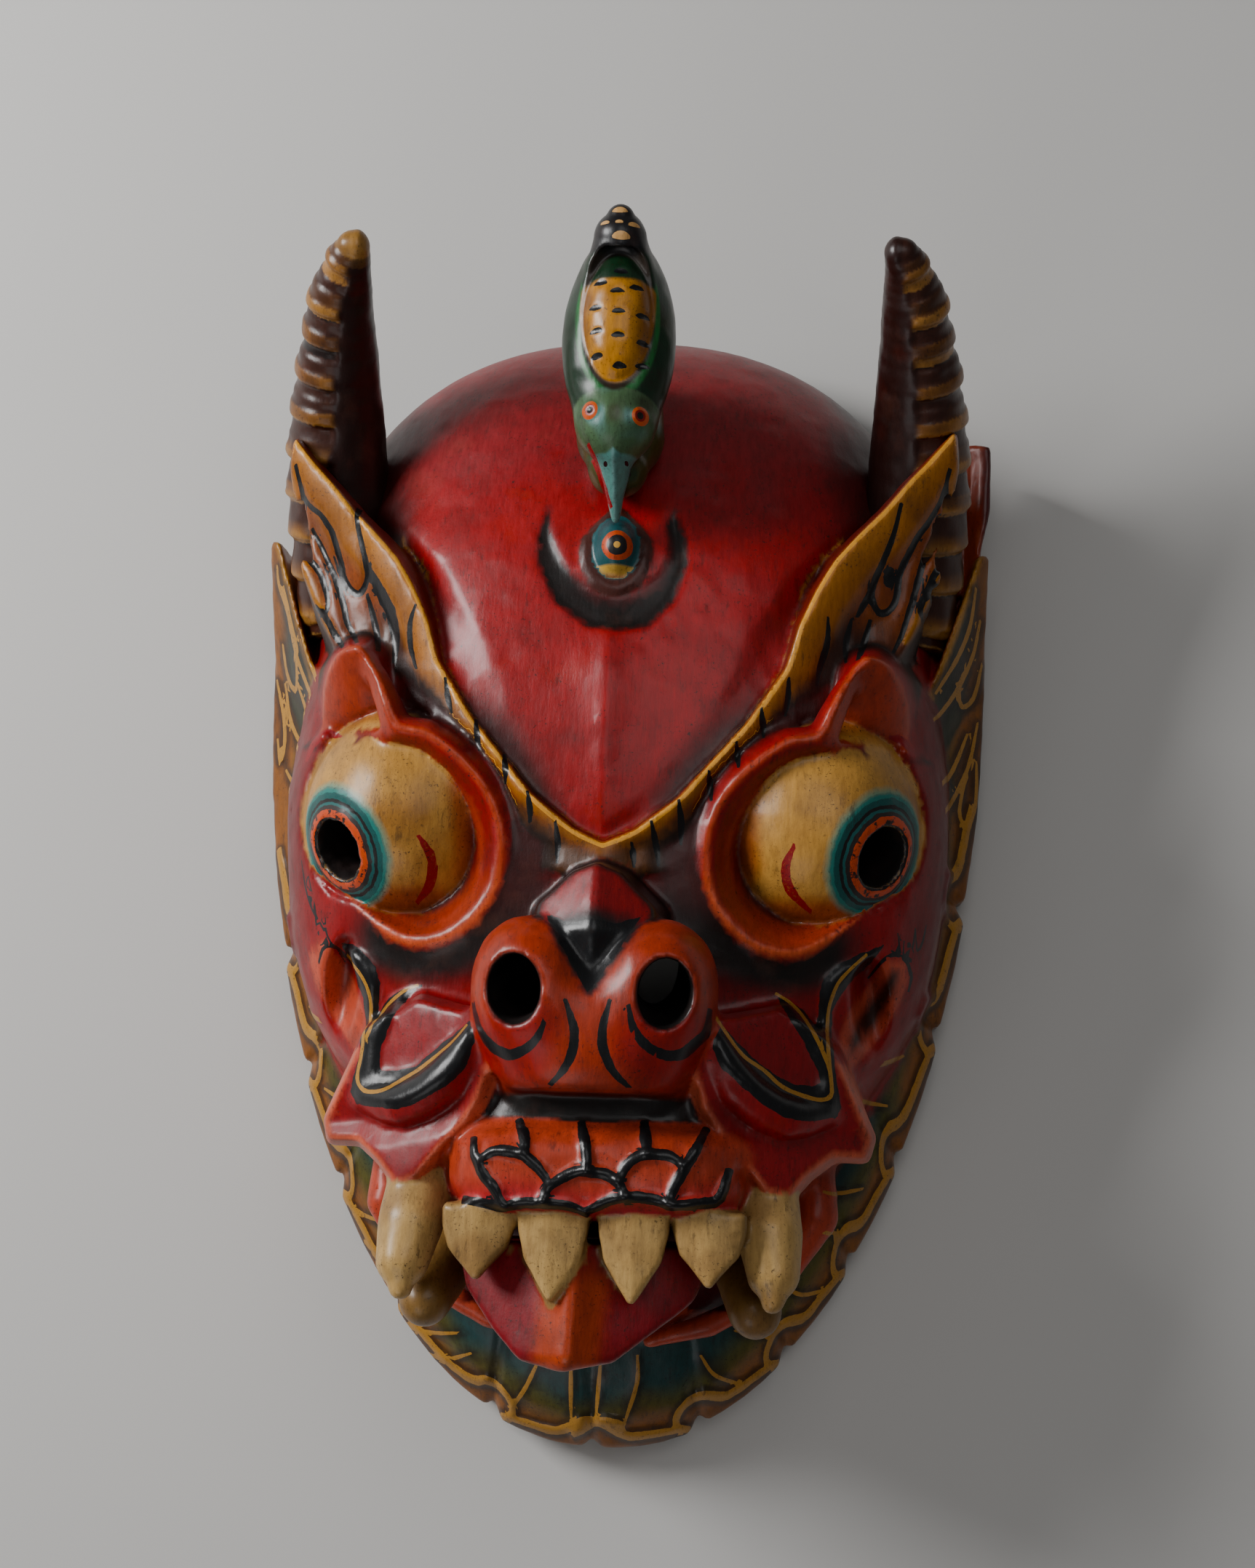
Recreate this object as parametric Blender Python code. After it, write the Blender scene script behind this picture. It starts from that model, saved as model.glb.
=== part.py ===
# Carved and painted wooden demon mask with a bird crest and two horns.
# It lies on its flat back: +Z is out of the face, +Y runs from the chin to the horns, +X is the viewer's right.
# The carving is laid out in units, one unit being the carved block's height shared by BLOCK_UNITS.
import bmesh
import bpy
import numpy as np
import openvdb

# Driving dimensions in metres
BLOCK_HEIGHT = 0.507        # carved block, from the collar's lowest edge to the top of the dome
NOSE_HEIGHT = 0.186         # front of the nose above the back plane
WALL = 0.020                # wood left between the hollow and the carved face
RIM_WIDTH = 0.017           # flat back rim, outline to the mouth of the hollow
DOME_RIM = 0.020            # height of the upright edge round the dome
COLLAR_EDGE = 0.018         # thickness of the collar at its scalloped edge
SCALLOP_PITCH = 0.054       # spacing of the notches along the collar's edge
SCALLOP_DEPTH = 0.005
PUPIL_BORE = 0.026          # peep hole in each eyeball
NOSTRIL_BORE = 0.021        # across; the nostrils are a quarter higher than wide
EYEBALL_BULGE = 0.134       # front of the eyeballs above the back plane
TOOTH_THICKNESS = 0.011
HORN_LENGTH = 0.230         # along the middle of a horn, from its foot inside the block to the tip
HORN_THICKNESS = 0.047      # across a horn at its thickest
HORN_STEP = 0.0030          # how far each ring of a horn stands over the next
HORN_RING = 0.0135          # width of a ring
LEFT_LEAN = 0.003           # the left horn's tip leans in by this much
FLAME_RISE = 0.008          # the right brow's flame is carved this much higher than the left one
BIRD_LENGTH = 0.127         # tip of the beak to the tip of the tail
SEAT_GAP = 0.0004           # glue line between a horn or the bird and the block
PLANING = 0.0006            # the back is planed: corners this close to its plane are brought onto it

# Layout of the carving
BLOCK_UNITS = 507.0
UNIT = BLOCK_HEIGHT / BLOCK_UNITS
CHIN_Y = -291.0             # lowest edge of the collar; y = 0 lies level with the eyes
DOME_Y = 216.0
DOME_HALF = 147.0
COLLAR_HALF = 165.0
TAIL_Y = 231.0
CENTRE_Y = (CHIN_Y + TAIL_Y) / 2
BLOCK_STEP = 2.6            # spacing of the carving grid
PIECE_STEP = 1.6

wall = WALL / UNIT
rimWidth = RIM_WIDTH / UNIT
domeRim = DOME_RIM / UNIT
collarEdge = COLLAR_EDGE / UNIT
noseTop = NOSE_HEIGHT / UNIT
eyeTop = EYEBALL_BULGE / UNIT
toothThickness = TOOTH_THICKNESS / UNIT


# Distances to simple forms, in units
def ellipsoid(x, y, z, centre, radii, power=2.0):
    dx, dy, dz = (abs(x - centre[0]), abs(y - centre[1]), abs(z - centre[2]))
    level = ((dx / radii[0]) ** power + (dy / radii[1]) ** power + (dz / radii[2]) ** power) ** (1 / power)
    if power != 2.0:
        return (level - 1) * min(radii)
    slope = np.sqrt((dx / radii[0] ** 2) ** 2 + (dy / radii[1] ** 2) ** 2 + (dz / radii[2] ** 2) ** 2)
    return level * (level - 1) / np.maximum(slope, 1e-6)


def cone(x, y, z, start, end, startRadius, endRadius):
    axis = [e - s for s, e in zip(start, end)]
    length = sum(a * a for a in axis)
    dx, dy, dz = x - start[0], y - start[1], z - start[2]
    along = np.clip((dx * axis[0] + dy * axis[1] + dz * axis[2]) / length, 0, 1)
    away = np.sqrt((dx - along * axis[0]) ** 2 + (dy - along * axis[1]) ** 2 + (dz - along * axis[2]) ** 2)
    return away - (startRadius + (endRadius - startRadius) * along)


def sweep(x, y, z, path, radii):
    parts = [cone(x, y, z, a, b, ra, rb) for a, b, ra, rb in zip(path, path[1:], radii, radii[1:])]
    return np.minimum.reduce(parts)


def outline(x, y, corners):
    # signed distance to a flat closed outline, negative inside
    nearest, inside = np.inf, np.zeros(np.broadcast(x, y).shape, bool)
    for (ax, ay), (bx, by) in zip(corners, corners[1:] + corners[:1]):
        ex, ey = bx - ax, by - ay
        along = np.clip(((x - ax) * ex + (y - ay) * ey) / (ex * ex + ey * ey), 0, 1)
        nearest = np.minimum(nearest, (x - ax - along * ex) ** 2 + (y - ay - along * ey) ** 2)
        inside ^= ((ay > y) != (by > y)) & (x < ax + (y - ay) * ex / (ey or 1e-9))
    return np.where(inside, -1, 1) * np.sqrt(nearest)


def smoothCurve(points, steps=6):
    # Catmull-Rom curve through the points
    points = [np.array(p, float) for p in points]
    ends = [2 * points[0] - points[1]] + points + [2 * points[-1] - points[-2]]
    curve = []
    for p0, p1, p2, p3 in zip(ends, ends[1:], ends[2:], ends[3:]):
        for t in np.arange(steps) / steps:
            curve.append(0.5 * (2 * p1 + (p2 - p0) * t + (2 * p0 - 5 * p1 + 4 * p2 - p3) * t ** 2
                                + (3 * p1 - p0 - 3 * p2 + p3) * t ** 3))
    return curve + [points[-1]]


def softMin(a, b, soften):
    overlap = np.clip(soften - abs(a - b), 0, None) / soften
    return np.minimum(a, b) - overlap * overlap * soften / 4


# A volume of wood: signed distances on a grid, negative in the wood
def block(low, high, step):
    axes = [np.arange(a, b + step, step, dtype=np.float32) for a, b in zip(low, high)]
    return {"axes": axes, "step": step, "low": low,
            "wood": np.full([len(axis) for axis in axes], 60.0, np.float32)}


def window(volume, low, high):
    spans = [slice(*np.searchsorted(axis, (a, b))) for axis, a, b in zip(volume["axes"], low, high)]
    x, y, z = (axis[span] for axis, span in zip(volume["axes"], spans))
    return volume["wood"][tuple(spans)], x[:, None, None], y[None, :, None], z[None, None, :]


def addWood(volume, low, high, form, soften=1.0):
    wood, x, y, z = window(volume, low, high)
    if wood.size:
        wood[...] = softMin(wood, form(x, y, z), soften)


def cutWood(volume, low, high, form, soften=1.0):
    wood, x, y, z = window(volume, low, high)
    if wood.size:
        wood[...] = -softMin(-wood, form(x, y, z), soften)


def bothSides(work, volume, low, high, form, soften=1.0):
    # the same cut or addition on the viewer's right and, mirrored, on the left
    work(volume, low, high, form, soften)
    mirrored = (-high[0], low[1], low[2]), (-low[0], high[1], high[2])
    work(volume, *mirrored, lambda x, y, z: form(-x, y, z), soften)


# The big forms of the head
def domeShare(x, y):
    # 0 over the crown, 1 on the dome's outline
    down = np.where(y > 60, (y - 60) / (DOME_Y - 60), (60 - y) / 200)
    return (abs(x / DOME_HALF) ** 2.35 + abs(down) ** 2.35) ** (1 / 2.35)


def foreheadEdge(y):
    # half width of the smooth forehead between the brows
    return np.interp(y, [-30, -16, 0, 19, 42, 61, 89, 115, 140], [0, 18, 32, 46, 58, 66, 82, 106, 130])


def domeHeight(x, y):
    share = domeShare(x, y)
    height = domeRim + 96 * np.clip(1 - share ** 2.35, 0, 1) ** 0.53
    inside = np.clip((foreheadEdge(y) - abs(x)) / 13, -1, 1)
    keel = 10 * np.clip(1 - abs(x) / 30, 0, 1) * np.clip((78 - y) / 40, 0, 1)
    return height + 6 * inside * np.clip((130 - y) / 40, 0, 1) + keel


def addDome(volume):
    def form(x, y, z):
        edge = (domeShare(x, y) - 1) * 150
        return np.maximum(np.maximum((z - domeHeight(x, y)) * 0.7, edge), -z)
    addWood(volume, (-170, -60, -9), (170, 240, 200), form)


def addFace(volume):
    def form(x, y, z):
        cheeks = ellipsoid(x, y, z, (0, -20, 35), (148, 150, 95), 2.5)
        jaw = ellipsoid(x, y, z, (0, -130, 20), (104, 114, 64), 2.3)
        return np.maximum(softMin(cheeks, jaw, 18), -z)
    addWood(volume, (-170, -300, -9), (170, 130, 200), form, 14)


collarAngles = np.linspace(0, np.pi / 2, 40)
collarLengths = np.concatenate([[0], np.cumsum(np.hypot(np.diff(COLLAR_HALF * np.sin(collarAngles)),
                                                        np.diff((60 - CHIN_Y) * np.cos(collarAngles))))])


def collarOutline(x, y):
    # distance outwards from the collar's edge, with a notch at the foot of each scallop
    down, reach = np.clip(60 - y, 0, None), 60 - CHIN_Y
    level = np.maximum((abs(x / COLLAR_HALF) ** 2.05 + (down / reach) ** 2.05) ** (1 / 2.05), 0.05)
    away = (level - 1) / level * np.hypot(x, down)
    around = np.arctan2(abs(x) / COLLAR_HALF, down / reach)
    length = np.interp(around, collarAngles, collarLengths) / (SCALLOP_PITCH / UNIT)
    turn = length - np.floor(length)
    beside = np.minimum(turn, 1 - turn) * SCALLOP_PITCH / UNIT
    notch = np.clip(1 - beside / 4.5, 0, 1) + 0.35 * np.clip(1 - turn * 1.6, 0, 1)
    return np.maximum(away + notch * SCALLOP_DEPTH / UNIT, (y - 113) * 0.9)


def addCollar(volume):
    def form(x, y, z):
        away = collarOutline(x, y)
        height = collarEdge + 34 * (1 - np.exp(np.clip(away, -80, 0) / 24))
        return np.maximum(np.maximum(away, (z - height) * 0.75), -z)
    addWood(volume, (-170, -300, -9), (170, 118, 80), form, 3)


def addCollarWings(volume):
    # the collar's upper ends stand forward of the temples, their sawn inner edges in full view
    wing = [(164, 113), (158, 113), (147, 76), (138, 50), (129, 20), (138, -6), (158, 10), (164, 60)]

    def form(x, y, z):
        inner = np.interp(y, [-6, 20, 50, 76, 113], [138, 129, 138, 147, 158])
        height = 66 - 1.9 * np.clip(x - inner, 0, None) - 0.10 * np.clip(y - 60, 0, None)
        return np.maximum(np.maximum(outline(x, y, wing), (z - height) * 0.6), -z)
    bothSides(addWood, volume, (120, -20, -9), (170, 120, 80), form, 2)


def addEars(volume):
    # leaf-shaped ears behind the horns
    # the left one is hidden, closer in
    leaf = [(140, 84), (158, 104), (165, 136), (165, 166), (154, 168), (147, 146), (139, 112)]
    for side, tuck in ((1, 0), (-1, 15)):
        def form(x, y, z, side=side, tuck=tuck):
            flat = outline(x * side + tuck, y, leaf)
            return np.maximum(flat, abs(z - 30) - 12 - flat * 0.3)
        low, high = sorted((side * (135 - tuck), side * (170 - tuck)))
        addWood(volume, (low, 70, 5), (high, 180, 60), form, 5)


# The brows: a band along the forehead that ends in a forked flame on each side
browFlame = [(0, -33), (13, -27), (31, -13), (44, 3), (58, 20), (74, 45), (79, 62), (86, 77), (94, 90),
             (104, 101), (115, 114), (117, 90), (121, 108), (124, 124), (136, 135), (144, 146),
             (146, 132), (145, 116), (143, 101), (140, 90), (131, 70), (121, 52), (109, 50), (92, 40),
             (79, 31), (65, 20), (54, 9), (44, -3), (37, -16), (30, -42), (0, -48)]


def browHeight(x, y):
    edge = np.interp(y, [-33, -13, 20, 62, 101, 146], [0, 31, 58, 79, 104, 144])
    return 137 - 0.27 * np.clip(x - 30, 0, None) - 0.35 * np.clip(x - edge, 0, 28)


def addBrows(volume):
    for side, rise in ((1, FLAME_RISE / UNIT), (-1, 0.0)):
        def form(x, y, z, side=side, rise=rise):
            x, y = x * side, y - rise * np.clip((y - 50) / 95, 0, 1)
            height = browHeight(x, y)
            flat = outline(x, y, browFlame) - 0.22 * np.clip(height - z, 0, 40)
            floor = 60 + 34 * np.clip((y - 45) / 50, 0, 1)
            return np.maximum(np.maximum(flat, z - height), floor - z)
        low, high = sorted((0, side * 160))
        addWood(volume, (low - 1, -60, 50), (high + 1, 156 + rise, 150), form, 1.5)


# Eyes and lids
lidPath = [(126, 16, 100), (125, 34, 110), (117, 46, 119), (107, 48, 124), (99, 37, 128), (93, 24, 130),
           (88, 14, 129), (77, 12, 130), (65, 4, 130), (55, -5, 129), (47, -17, 127), (43, -32, 125),
           (45, -50, 122), (53, -63, 120), (65, -72, 118), (80, -74, 114), (95, -67, 108), (110, -55, 100),
           (124, -44, 88)]
pupilAims = {1: np.array([0.67, -0.34, 0.66]), -1: np.array([-0.625, -0.40, 0.67])}
eyeLong, eyeAcross = 58.0, 49.0     # the eyeballs are eggs that point forwards and sideways
eyeCentre = (80.0, -15.0, eyeTop - 54.0)


def eyeball(x, y, z, side, grow=0.0):
    dx, dy, dz = x - side * eyeCentre[0], y - eyeCentre[1], z - eyeCentre[2]
    aim = pupilAims[side]
    along = dx * aim[0] + dy * aim[1] + dz * aim[2]
    across = np.sqrt(np.clip(dx * dx + dy * dy + dz * dz - along * along, 0, None))
    return (np.hypot(along / (eyeLong + grow), across / (eyeAcross + grow)) - 1) * (eyeAcross + grow)


def addEyes(volume):
    def lidMass(x, y, z):
        return ellipsoid(x, y, z, (84, -16, 56), (56, 62, 64))

    def hood(x, y, z):
        return ellipsoid(x, y, z, (107, 27, 80), (21, 25, 35))

    def lid(x, y, z):
        return sweep(x, y, z, lidPath, [5, 6] + [6.5] * 12 + [6, 5.5, 5, 4.5, 4])
    bothSides(addWood, volume, (20, -90, -9), (160, 60, 150), lidMass, 12)
    for side in (1, -1):
        low, high = sorted((side * 20, side * 160))
        addWood(volume, (low, -80, 20), (high, 60, 150), lambda x, y, z: eyeball(x, y, z, side), 1.5)
    bothSides(addWood, volume, (40, -80, 40), (160, 60, 150), hood, 9)
    bothSides(addWood, volume, (30, -90, 60), (160, 60, 150), lid, 5)


# Nose
def addNose(volume):
    def wing(x, y, z):
        return ellipsoid(x, y, z, (25, -95, noseTop - 36), (25, 30, 36), 2.2)

    def tip(x, y, z):
        return ellipsoid(x, y, z, (0, -114, noseTop - 43), (41, 34, 39), 2.4)

    def bridge(x, y, z):
        flat = outline(abs(x), y, [(0, -42), (12, -45), (27, -60), (13, -78), (0, -98), (-1, -98), (-1, -42)])
        roof = z - (noseTop - 9 - 0.5 * abs(x) - 0.35 * abs(y + 72))
        return np.maximum(flat - 0.35 * np.clip(noseTop - z, 0, 60), roof)

    def lipBlock(x, y, z):
        return ellipsoid(x, y, z, (0, -150, 95), (60, 27, 55), 3)

    def under(x, y, z):
        return np.maximum(np.maximum(y + 136, -156 - y), 149 - z)
    bothSides(addWood, volume, (-5, -130, 90), (55, -60, 200), wing, 5)
    addWood(volume, (-50, -150, 80), (50, -70, 200), tip, 9)
    addWood(volume, (-60, -110, 100), (60, -30, 200), bridge, 2)
    addWood(volume, (-70, -185, 30), (70, -115, 160), lipBlock, 4)
    cutWood(volume, (-48, -156, 120), (48, -130, 200), under, 3)


# Upper lip, gum, teeth, tongue
lipFlare = [(38, -118), (50, -106), (74, -100), (98, -116), (107, -136), (113, -150), (111, -157), (94, -156),
            (87, -165), (80, -174), (62, -180), (58, -166), (47, -148)]
curlPath = [(44, -110, 150), (58, -132, 146), (78, -144, 136), (98, -140, 120)]
toothShift = 3.0            # the jaw is carved a little off the middle
frontTeeth = [(16.0, 28, -218), (46.5, 29, -210)]      # middle, width, tip
tongueOutline = [(-54, -196), (-49, -215), (-37, -231), (-25, -243), (-8, -246), (12, -242), (28, -230),
                 (43, -218), (52, -196)]


def addLips(volume):
    def flare(x, y, z):
        height = 151 - 0.62 * np.clip(x - 45, 0, None) + 0.12 * np.clip(-150 - y, 0, 30)
        flat = outline(x, y, lipFlare) - 0.25 * np.clip(height - z, 0, 14)
        return np.maximum(np.maximum(flat, z - height), 58 - z)

    def curl(x, y, z):
        return sweep(x, y, z, curlPath, [5, 7.5, 7.5, 5])

    def pit(x, y, z):
        return ellipsoid(x, y + (x - 116) * 1.2, z, (116, -102, 104), (11, 27, 26))
    bothSides(addWood, volume, (30, -190, 50), (125, -90, 170), flare, 5)
    bothSides(addWood, volume, (30, -160, 100), (115, -95, 170), curl, 3)
    bothSides(cutWood, volume, (95, -140, 60), (140, -65, 150), pit, 3)


def addMouth(volume):
    def gum(x, y, z):
        return ellipsoid(x, y, z, (toothShift, -168, 112), (63, 22, 54), 2.7)

    def tongue(x, y, z):
        height = 154 - 0.34 * abs(x + 5) - 0.10 * (y + 246)
        floor = 122 - 1.1 * np.clip(y + 240, 0, 40)
        return np.maximum(np.maximum(outline(x, y, tongueOutline), z - height), floor - z)
    addWood(volume, (-70, -200, 50), (80, -140, 175), gum, 3)
    addWood(volume, (-70, -255, 50), (80, -190, 170), tongue, 2)
    root = -180.0
    for middle, width, tipY in frontTeeth:
        for side in (-1, 1):
            centre = toothShift + side * middle
            half = width / 2
            plate = [(centre - half, root), (centre - half, root - 10), (centre - half * 0.62, root - 24),
                     (centre, tipY), (centre + half * 0.62, root - 24), (centre + half, root - 10),
                     (centre + half, root)]

            def tooth(x, y, z, plate=plate, centre=centre):
                front = 161 - 0.012 * (x - centre) ** 2 - 0.0011 * (centre - toothShift) ** 2
                return np.maximum(np.maximum(outline(x, y, plate), z - front), front - toothThickness - z)
            addWood(volume, (centre - 20, -225, 140), (centre + 20, -170, 168), tooth)

    def fang(x, y, z):
        return sweep(x, y, z, [(70, -158, 126), (73, -190, 134), (77, -214, 141)], [12.5, 12, 3])

    def canine(x, y, z):
        return cone(x, y, z, (60, -200, 84), (66, -222, 120), 15, 8)

    def smallTooth(x, y, z):
        return cone(x, y, z, (43, -218, 76), (45, -238, 116), 9, 5)

    def tinyTooth(x, y, z):
        return cone(x, y, z, (15, -226, 76), (15, -243, 106), 6, 4)
    bothSides(addWood, volume, (50, -225, 90), (95, -140, 160), fang, 1.5)
    bothSides(addWood, volume, (35, -240, 50), (90, -180, 135), canine, 2)
    bothSides(addWood, volume, (30, -250, 50), (60, -205, 130), smallTooth, 1.5)
    bothSides(addWood, volume, (5, -250, 50), (25, -215, 115), tinyTooth, 1.5)


def addThirdEye(volume):
    def drop(x, y, z):
        return ellipsoid(x, y, z, (0, 95, 112), (13, 17, 19))

    def rim(x, y, z):
        around = np.sqrt((x / 15.5) ** 2 + ((y - 95) / 19) ** 2) * 17
        return np.sqrt((around - 17) ** 2 + (z - domeHeight(x, y)) ** 2) - 2.6

    def crescent(x, y, z):
        outer = np.hypot(x + 2, y - 97) - 36
        inner = np.hypot(x, y - 103) - 29
        return np.maximum(np.maximum(outer, -inner), domeHeight(x, y) - 1.6 - z)
    cutWood(volume, (-45, 50, 90), (45, 130, 140), crescent, 1.5)
    addWood(volume, (-25, 65, 90), (25, 125, 145), rim, 1.5)
    addWood(volume, (-20, 70, 90), (20, 120, 145), drop, 1)


def hollowBack(volume):
    # the hollow behind the face, with the peep holes and nostrils that open into it
    def main(x, y, z):
        down = np.where(y > 20, (y - 20) / (DOME_Y - 20 - rimWidth), (20 - y) / (20 - CHIN_Y - rimWidth - 26))
        share = (abs(x) / (DOME_HALF - rimWidth)) ** 2.3 + abs(down) ** 2.3
        return (z - (116 - wall) * np.clip(1 - share, 0, 1) ** 0.55 + 60 * np.clip(share - 1, 0, None)) * 0.6

    def muzzle(x, y, z):
        return ellipsoid(x, y, z, (0, -104, 40), (44, 60, 126 - wall))

    def socket(x, y, z):
        return ellipsoid(x, y, z, (84, -16, 30), (62 - wall, 62 - wall, eyeTop - 32 - wall))

    def bore(x, y, z, mouth, inward, radius, floor):
        inner = [m + 110 * i for m, i in zip(mouth, inward)]
        outer = [m - 40 * i for m, i in zip(mouth, inward)]
        return np.maximum(cone(x, y, z, inner, outer, radius, radius), floor - z)

    def pupil(x, y, z, side):
        mouth = np.array(eyeCentre) * (side, 1, 1) + eyeLong * pupilAims[side]
        return bore(x, y, z, mouth, -pupilAims[side], PUPIL_BORE / UNIT / 2, eyeCentre[2] - 18)

    def nostril(x, y, z):
        mouth, inward = np.array([29.5, -96 * 0.8, 178]), np.array([-0.11, 0.20, -0.97])
        return bore(x, y * 0.8, z, mouth, inward, NOSTRIL_BORE / UNIT / 2, 88)
    cutWood(volume, (-170, -300, -9), (170, 240, 130), main, 3)
    cutWood(volume, (-60, -190, -9), (60, -20, 170), muzzle, 8)
    bothSides(cutWood, volume, (30, -80, -9), (150, 60, 130), socket, 8)
    for side in (1, -1):
        low, high = sorted((side * 30, side * 170))
        cutWood(volume, (low, -80, 40), (high, 30, 170), lambda x, y, z: pupil(x, y, z, side))
    bothSides(cutWood, volume, (5, -125, 85), (55, -50, 220), nostril)


def flatBack(volume):
    cutWood(volume, (-180, -300, -20), (180, 240, 4), lambda x, y, z: z)


def carveHead(volume):
    for stage in (addDome, addFace, addCollar, addCollarWings, addEars, addBrows, addEyes, addNose, addLips,
                  addMouth, addThirdEye, flatBack):
        stage(volume)


# Horns: each follows a curve out of the block, thick at the foot, with stepped rings on the outer side
hornRoute = [(110, 30, 36), (126, 82, 48), (130, 128, 68), (130, 160, 86), (128, 184, 106), (124, 206, 130),
             (118, 219, 149)]
hornShares = [0.84, 0.98, 1.0, 0.90, 0.76, 0.56, 0.28]


def hornCurve(lean):
    # the route, stretched from the foot so that the whole horn has its own length
    curve = smoothCurve(hornRoute, 5)
    curve = [p - np.array([lean * share ** 2, 0, 0]) for p, share in zip(curve, np.linspace(0, 1, len(curve)))]
    length = sum(float(np.linalg.norm(b - a)) for a, b in zip(curve, curve[1:]))
    stretch = HORN_LENGTH / UNIT / length
    foot = curve[2]
    radii = np.interp(np.linspace(0, len(hornShares) - 1, len(curve)), range(len(hornShares)), hornShares)
    return [foot + (p - foot) * stretch for p in curve], radii * HORN_THICKNESS / UNIT / 2


def hornForm(x, y, z, lean):
    curve, radii = hornCurve(lean)
    best, along = np.full(np.broadcast(x, y, z).shape, 1e3, np.float32), 0.0
    station = np.zeros_like(best)
    offsetX = np.zeros_like(best)
    for a, b, ra, rb in zip(curve, curve[1:], radii, radii[1:]):
        axis = b - a
        length = float(np.linalg.norm(axis))
        dx, dy, dz = x - a[0], y - a[1], z - a[2]
        t = np.clip((dx * axis[0] + dy * axis[1] + dz * axis[2]) / length ** 2, 0, 1)
        away = np.sqrt((dx - t * axis[0]) ** 2 + (dy - t * axis[1]) ** 2 + (dz - t * axis[2]) ** 2)
        away = away - (ra + (rb - ra) * t)
        nearer = away < best
        best = np.where(nearer, away, best)
        station = np.where(nearer, along + t * length, station)
        offsetX = np.where(nearer, dx - t * axis[0], offsetX)
        along += length
    ring = station / (HORN_RING / UNIT) % 1.0
    outer = np.clip((offsetX + 3) / 5, 0, 1)
    return best + outer * HORN_STEP / UNIT * (ring - 0.35)


# Bird crest, head down, perched on the forehead
beakTip = (0, 106, 128)
birdScale = BIRD_LENGTH / UNIT / 127


def birdForm(x, y, z):
    s = birdScale
    x, y, z = x / s, (y - beakTip[1]) / s, (z - beakTip[2]) / s
    body = ellipsoid(x, y, z, (0, 72, 18), (24, 45, 18))
    back = ellipsoid(x, y, z, (0, 78, 30), (14, 28, 11))
    groove = ellipsoid(x, y, z, (0, 78, 37), (17, 31, 9))
    head = ellipsoid(x, y, z, (0, 36, 21), (17, 17, 16))
    beak = cone(x, y, z, (0, 26, 20), (0, 1, 1), 9, 1.5)
    tail = sweep(x, y, z, [(0, 96, 24), (0, 112, 32), (0, 121, 36)], [13, 9, 4.5])
    breast = sweep(x, y, z, [(0, 24, -4), (0, 40, -12), (0, 62, -18)], [13, 19, 17])
    bird = softMin(softMin(body, tail, 6), softMin(head, breast, 8), 6)
    bird = -softMin(-bird, groove, 2)
    return s * softMin(softMin(bird, back, 2), beak, 3)


# From distances to meshes
def meshOf(name, volume, triangles):
    grid = openvdb.FloatGrid(60.0)
    grid.copyFromArray(np.ascontiguousarray(volume["wood"], dtype=np.float32))
    corners, threes, fours = grid.convertToPolygons(0.0, 0.0)
    places = corners * volume["step"] + np.array(volume["low"])
    places = (places - np.array([0, CENTRE_Y, 0])) * UNIT
    faces = [list(map(int, f)) for f in fours] + [list(map(int, f)) for f in threes]
    mesh = bpy.data.meshes.new(name)
    mesh.from_pydata([tuple(map(float, p)) for p in places], [], faces)
    mesh.update()
    piece = bpy.data.objects.new(name, mesh)
    bpy.context.scene.collection.objects.link(piece)
    keepLargest(piece)
    count = sum(len(p.vertices) - 2 for p in mesh.polygons)
    thin = piece.modifiers.new("thin", "DECIMATE")
    thin.ratio = min(1.0, triangles / count)
    thin.use_collapse_triangulate = True
    return piece


def keepLargest(piece):
    # drops any crumb that stands free of the piece, and turns the faces outwards
    work = bmesh.new()
    work.from_mesh(piece.data)
    unseen, shells = set(work.verts), []
    while unseen:
        shell, edge = set(), [next(iter(unseen))]
        while edge:
            corner = edge.pop()
            if corner in shell:
                continue
            shell.add(corner)
            edge.extend(e.other_vert(corner) for e in corner.link_edges)
        unseen -= shell
        shells.append(shell)
    shells.sort(key=len)
    for shell in shells[:-1]:
        bmesh.ops.delete(work, geom=list(shell), context="VERTS")
    if work.calc_volume(signed=True) < 0:
        bmesh.ops.reverse_faces(work, faces=work.faces)
    work.to_mesh(piece.data)
    work.free()


def applied(piece):
    # bakes the piece's modifiers into its own mesh
    shaped = bpy.data.meshes.new_from_object(piece.evaluated_get(bpy.context.evaluated_depsgraph_get()))
    piece.modifiers.clear()
    piece.data = shaped
    return piece


def seatOn(piece, head):
    # hollows the piece's foot to the head's surface, less the glue line
    cutter = head.copy()
    cutter.data = head.data.copy()
    cutter.name = piece.name + "_seat"
    bpy.context.scene.collection.objects.link(cutter)
    grow = cutter.modifiers.new("glue line", "DISPLACE")
    grow.strength = SEAT_GAP
    grow.mid_level = 0.0
    cutter.hide_render = True
    cutter.hide_viewport = False
    cutter.display_type = "WIRE"
    seat = piece.modifiers.new("seat", "BOOLEAN")
    seat.operation = "DIFFERENCE"
    seat.solver = "EXACT"
    seat.use_self = True        # the grown head crosses itself in its sharp creases
    seat.object = cutter


def paint(name, colour, roughness):
    material = bpy.data.materials.new(name)
    material.use_nodes = True
    shader = material.node_tree.nodes["Principled BSDF"]
    shader.inputs["Base Color"].default_value = (*colour, 1)
    shader.inputs["Roughness"].default_value = roughness
    return material


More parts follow.
